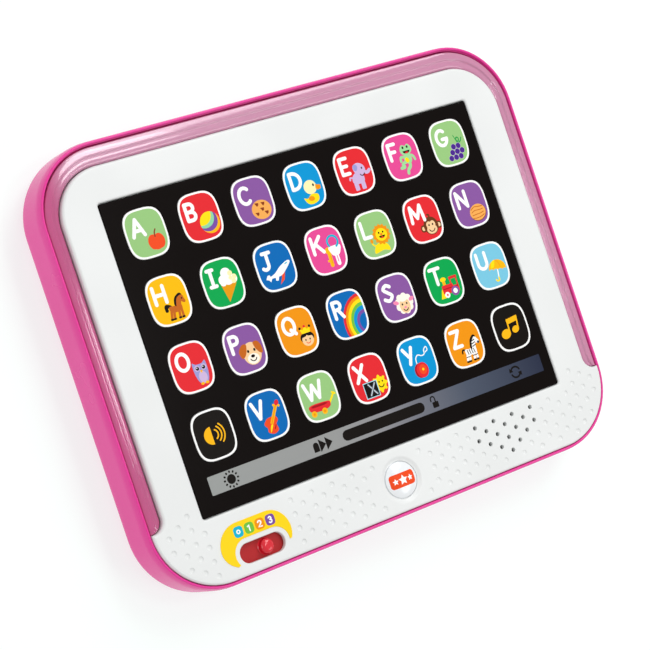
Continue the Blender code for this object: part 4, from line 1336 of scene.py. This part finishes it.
def make_looks():
    pink = look("glossy_pink", "E63C99", 0.26, 0.03, 0.01, 900, Specular_IOR_Level=0.28)
    tinted(pink, "E53997", "E8419C", 25)
    face = look("white_plastic", "E6E8E7", 0.38, 0.06, 0.05, 1100, Specular_IOR_Level=0.45)
    tinted(face, "E4E6E5", "E8EAE9", 30)
    clear = {"Transmission_Weight": 0.4, "IOR": 1.5, "Coat_Weight": 0.8}
    rim = look("clear_pink_rim_painted_light", "E870AA", 0.1, 0.05, 0.02, 700, **clear)
    # Painted shade: along its left side the clear pink is painted deep, for the shade that side shows.
    # Painted highlight: it turns palest just round the top left corner, for a sheen, and is milky pink
    # elsewhere.
    stops = ((0.0, "E6609F"), (0.035, "E668A3"), (0.08, "F3B3D2"), (0.6, "F0A9CB"), (1.0, "EFA3C8"))
    banded(rim, stops, SHELL[0], SHELL[1])
    return {
        "shell": pink,
        "face": face,
        "cloth": look("black_dust_cloth", "17191C", 0.9, 0.1, 0.3, 1300, Specular_IOR_Level=0.1),
        "rim": rim,
        "button": look("button_gloss", "EFF2F4", 0.14, 0.05, 0.04, 800, Coat_Weight=0.5),
        "knob": look("glossy_red", "DB1228", 0.2, 0.06, 0.03, 700, Coat_Weight=0.5),
        "plate": look("dark_red_plate", "B01A1E", 0.4, 0.06, 0.04, 900, Specular_IOR_Level=0.25),
        "label": look("yellow_sticker", "FFD500", 0.34, 0.06, 0.03, 900, Specular_IOR_Level=0.2),
        "steel": look("zinc_plate", "B9BCC2", 0.3, 0.12, 0.08, 700, Metallic=1.0),
    }


def dress_inside():
    """Looks for the CAD nodes that stay: boards, switch parts, loudspeaker and battery bay."""
    steel = look("bright_spring_steel", "C2C4C8", 0.26, 0.1, 0.06, 900, Metallic=1.0)
    board = tinted(look("solder_mask", "0F5A31", 0.35, 0.1, 0.1, 500), "0B4B28", "13683A", 400)
    rubber = tinted(look("grey_silicone", "B9BABA", 0.6, 0.1, 0.2, 600), "B2B3B4", "C1C2C2", 120)
    switch = look("black_switch", "1B1B1D", 0.4, 0.1, 0.1, 700)
    paper = tinted(look("speaker_paper", "1E1D1D", 0.85, 0.1, 0.6, 900), "191818", "2A2828", 700)
    tin = look("speaker_tin", "9EA1A6", 0.35, 0.12, 0.1, 600, Metallic=1.0)
    plan = {
        "circuit_board": board, "lower_board": board, "switch_membrane": rubber, "home_button_dome": rubber,
        "slide_switch": switch, "speaker_cone": paper, "speaker_frame": tin, "speaker_magnet": tin,
        "battery_contact_left": steel, "battery_contact_right": steel,
    }
    for number in (1, 2, 3):
        plan[f"contact_spring_{number}"] = steel
        low, high = box_mm(f"battery_{number}")
        sleeve = look(f"cell_sleeve_{number}", "1D4FA0", 0.3, 0.06, 0.05, 900, Metallic=0.2)
        stops = [(0.0, "C9CBCF"), (0.035, "C9CBCF"), (0.04, "1D3F86"), (0.72, "1D3F86"), (0.725, "D9A441")]
        stops += [(0.955, "D9A441"), (0.96, "C9CBCF")]
        nub_on_right = number % 2 == 1
        ends = (low.x, high.x) if nub_on_right else (high.x, low.x)
        plan[f"battery_{number}"] = banded(sleeve, stops, *ends)
    for name, made in plan.items():
        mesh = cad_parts[name].data
        mesh.materials.clear()
        mesh.materials.append(made)


# ---- stage, light and camera


def make_floor():
    mesh = bpy.data.meshes.new("studio_floor")
    reach = 4.0
    corners = [(-reach, -reach, 0), (reach, -reach, 0), (reach, reach, 0), (-reach, reach, 0)]
    mesh.from_pydata(corners, [], [(0, 1, 2, 3)])
    floor = bpy.data.objects.new("studio_floor", mesh)
    bpy.context.scene.collection.objects.link(floor)
    # Its own faint glow keeps the floor white round the tablet, with only a soft shadow and little pink.
    settings = {"Specular_IOR_Level": 0.1, "Emission_Strength": 0.69, "Emission_Color": (1, 1, 1, 1)}
    pale = look("pale_floor", "95A49E", 0.9, 0.02, 0.0, **settings)
    mesh.materials.append(pale)


def make_light(name, place, size, power):
    """A round area light that faces the tablet."""
    data = bpy.data.lights.new(name, "AREA")
    data.shape = "DISK"
    data.size = size
    data.energy = power
    lamp = bpy.data.objects.new(name, data)
    lamp.location = place
    lamp.rotation_mode = "QUATERNION"
    lamp.rotation_quaternion = (Vector((0, 0, 0.02)) - Vector(place)).to_track_quat("-Z", "Y")
    bpy.context.scene.collection.objects.link(lamp)


def make_lights():
    make_light("key_light", (0.75, 1.15, 1.3), 1.1, 12)
    make_light("right_light", (1.0, -1.0, 1.4), 0.9, 5)
    make_light("left_light", (-1.7, 0.1, 0.8), 1.0, 4.5)
    make_light("corner_light", (0.48, 0.55, 1.4), 0.4, 2.4)
    make_light("streak_light", (0.32, 0.0, 1.4), 0.22, 1.8)
    world = bpy.data.worlds.new("studio")
    world.use_nodes = True
    set_inputs(world.node_tree.nodes["Background"], Color=(1, 1, 1, 1), Strength=0.56)
    bpy.context.scene.world = world


CAMERA_TARGET, CAMERA_DISTANCE = Vector((-0.0119, -0.0068, 0.0281)), 0.881
CAMERA_AZIMUTH, CAMERA_ELEVATION, CAMERA_ROLL = -91.05, 60.25, 72.37
CAMERA_LENS = 110.8


def make_camera():
    azimuth, elevation = math.radians(CAMERA_AZIMUTH), math.radians(CAMERA_ELEVATION)
    level = Vector((math.sin(azimuth), -math.cos(azimuth), 0))
    back = level * math.cos(elevation) + Vector((0, 0, math.sin(elevation)))
    data = bpy.data.cameras.new("camera")
    data.lens = CAMERA_LENS
    data.clip_start, data.clip_end = 0.01, 50
    camera = bpy.data.objects.new("camera", data)
    camera.location = CAMERA_TARGET + back * CAMERA_DISTANCE
    turn = Matrix.Rotation(math.radians(CAMERA_ROLL), 3, "Z")
    camera.rotation_euler = ((-back).to_track_quat("-Z", "Y").to_matrix() @ turn).to_euler()
    bpy.context.scene.collection.objects.link(camera)
    bpy.context.scene.camera = camera
    bpy.context.scene.view_settings.view_transform = "Standard"


def main():
    make_camera()
    make_lights()
    make_floor()
    looks = {**make_inks(), **make_looks()}
    body = "casing"
    make_shell(looks, body)
    make_face(looks, body)
    make_rim(looks, body)
    make_panel(looks, body)
    for name in KEY_ART:
        make_key(name, looks)
    make_home_button(looks)
    make_level_slider(looks)
    make_label(looks, body)
    make_battery_door(looks)
    for name in SCREW_NAMES:
        make_screw(name, looks, body, CASE_SHANK)
    make_screw("battery_door_screw", looks, "battery_door", DOOR_SHANK)
    dress_inside()


main()
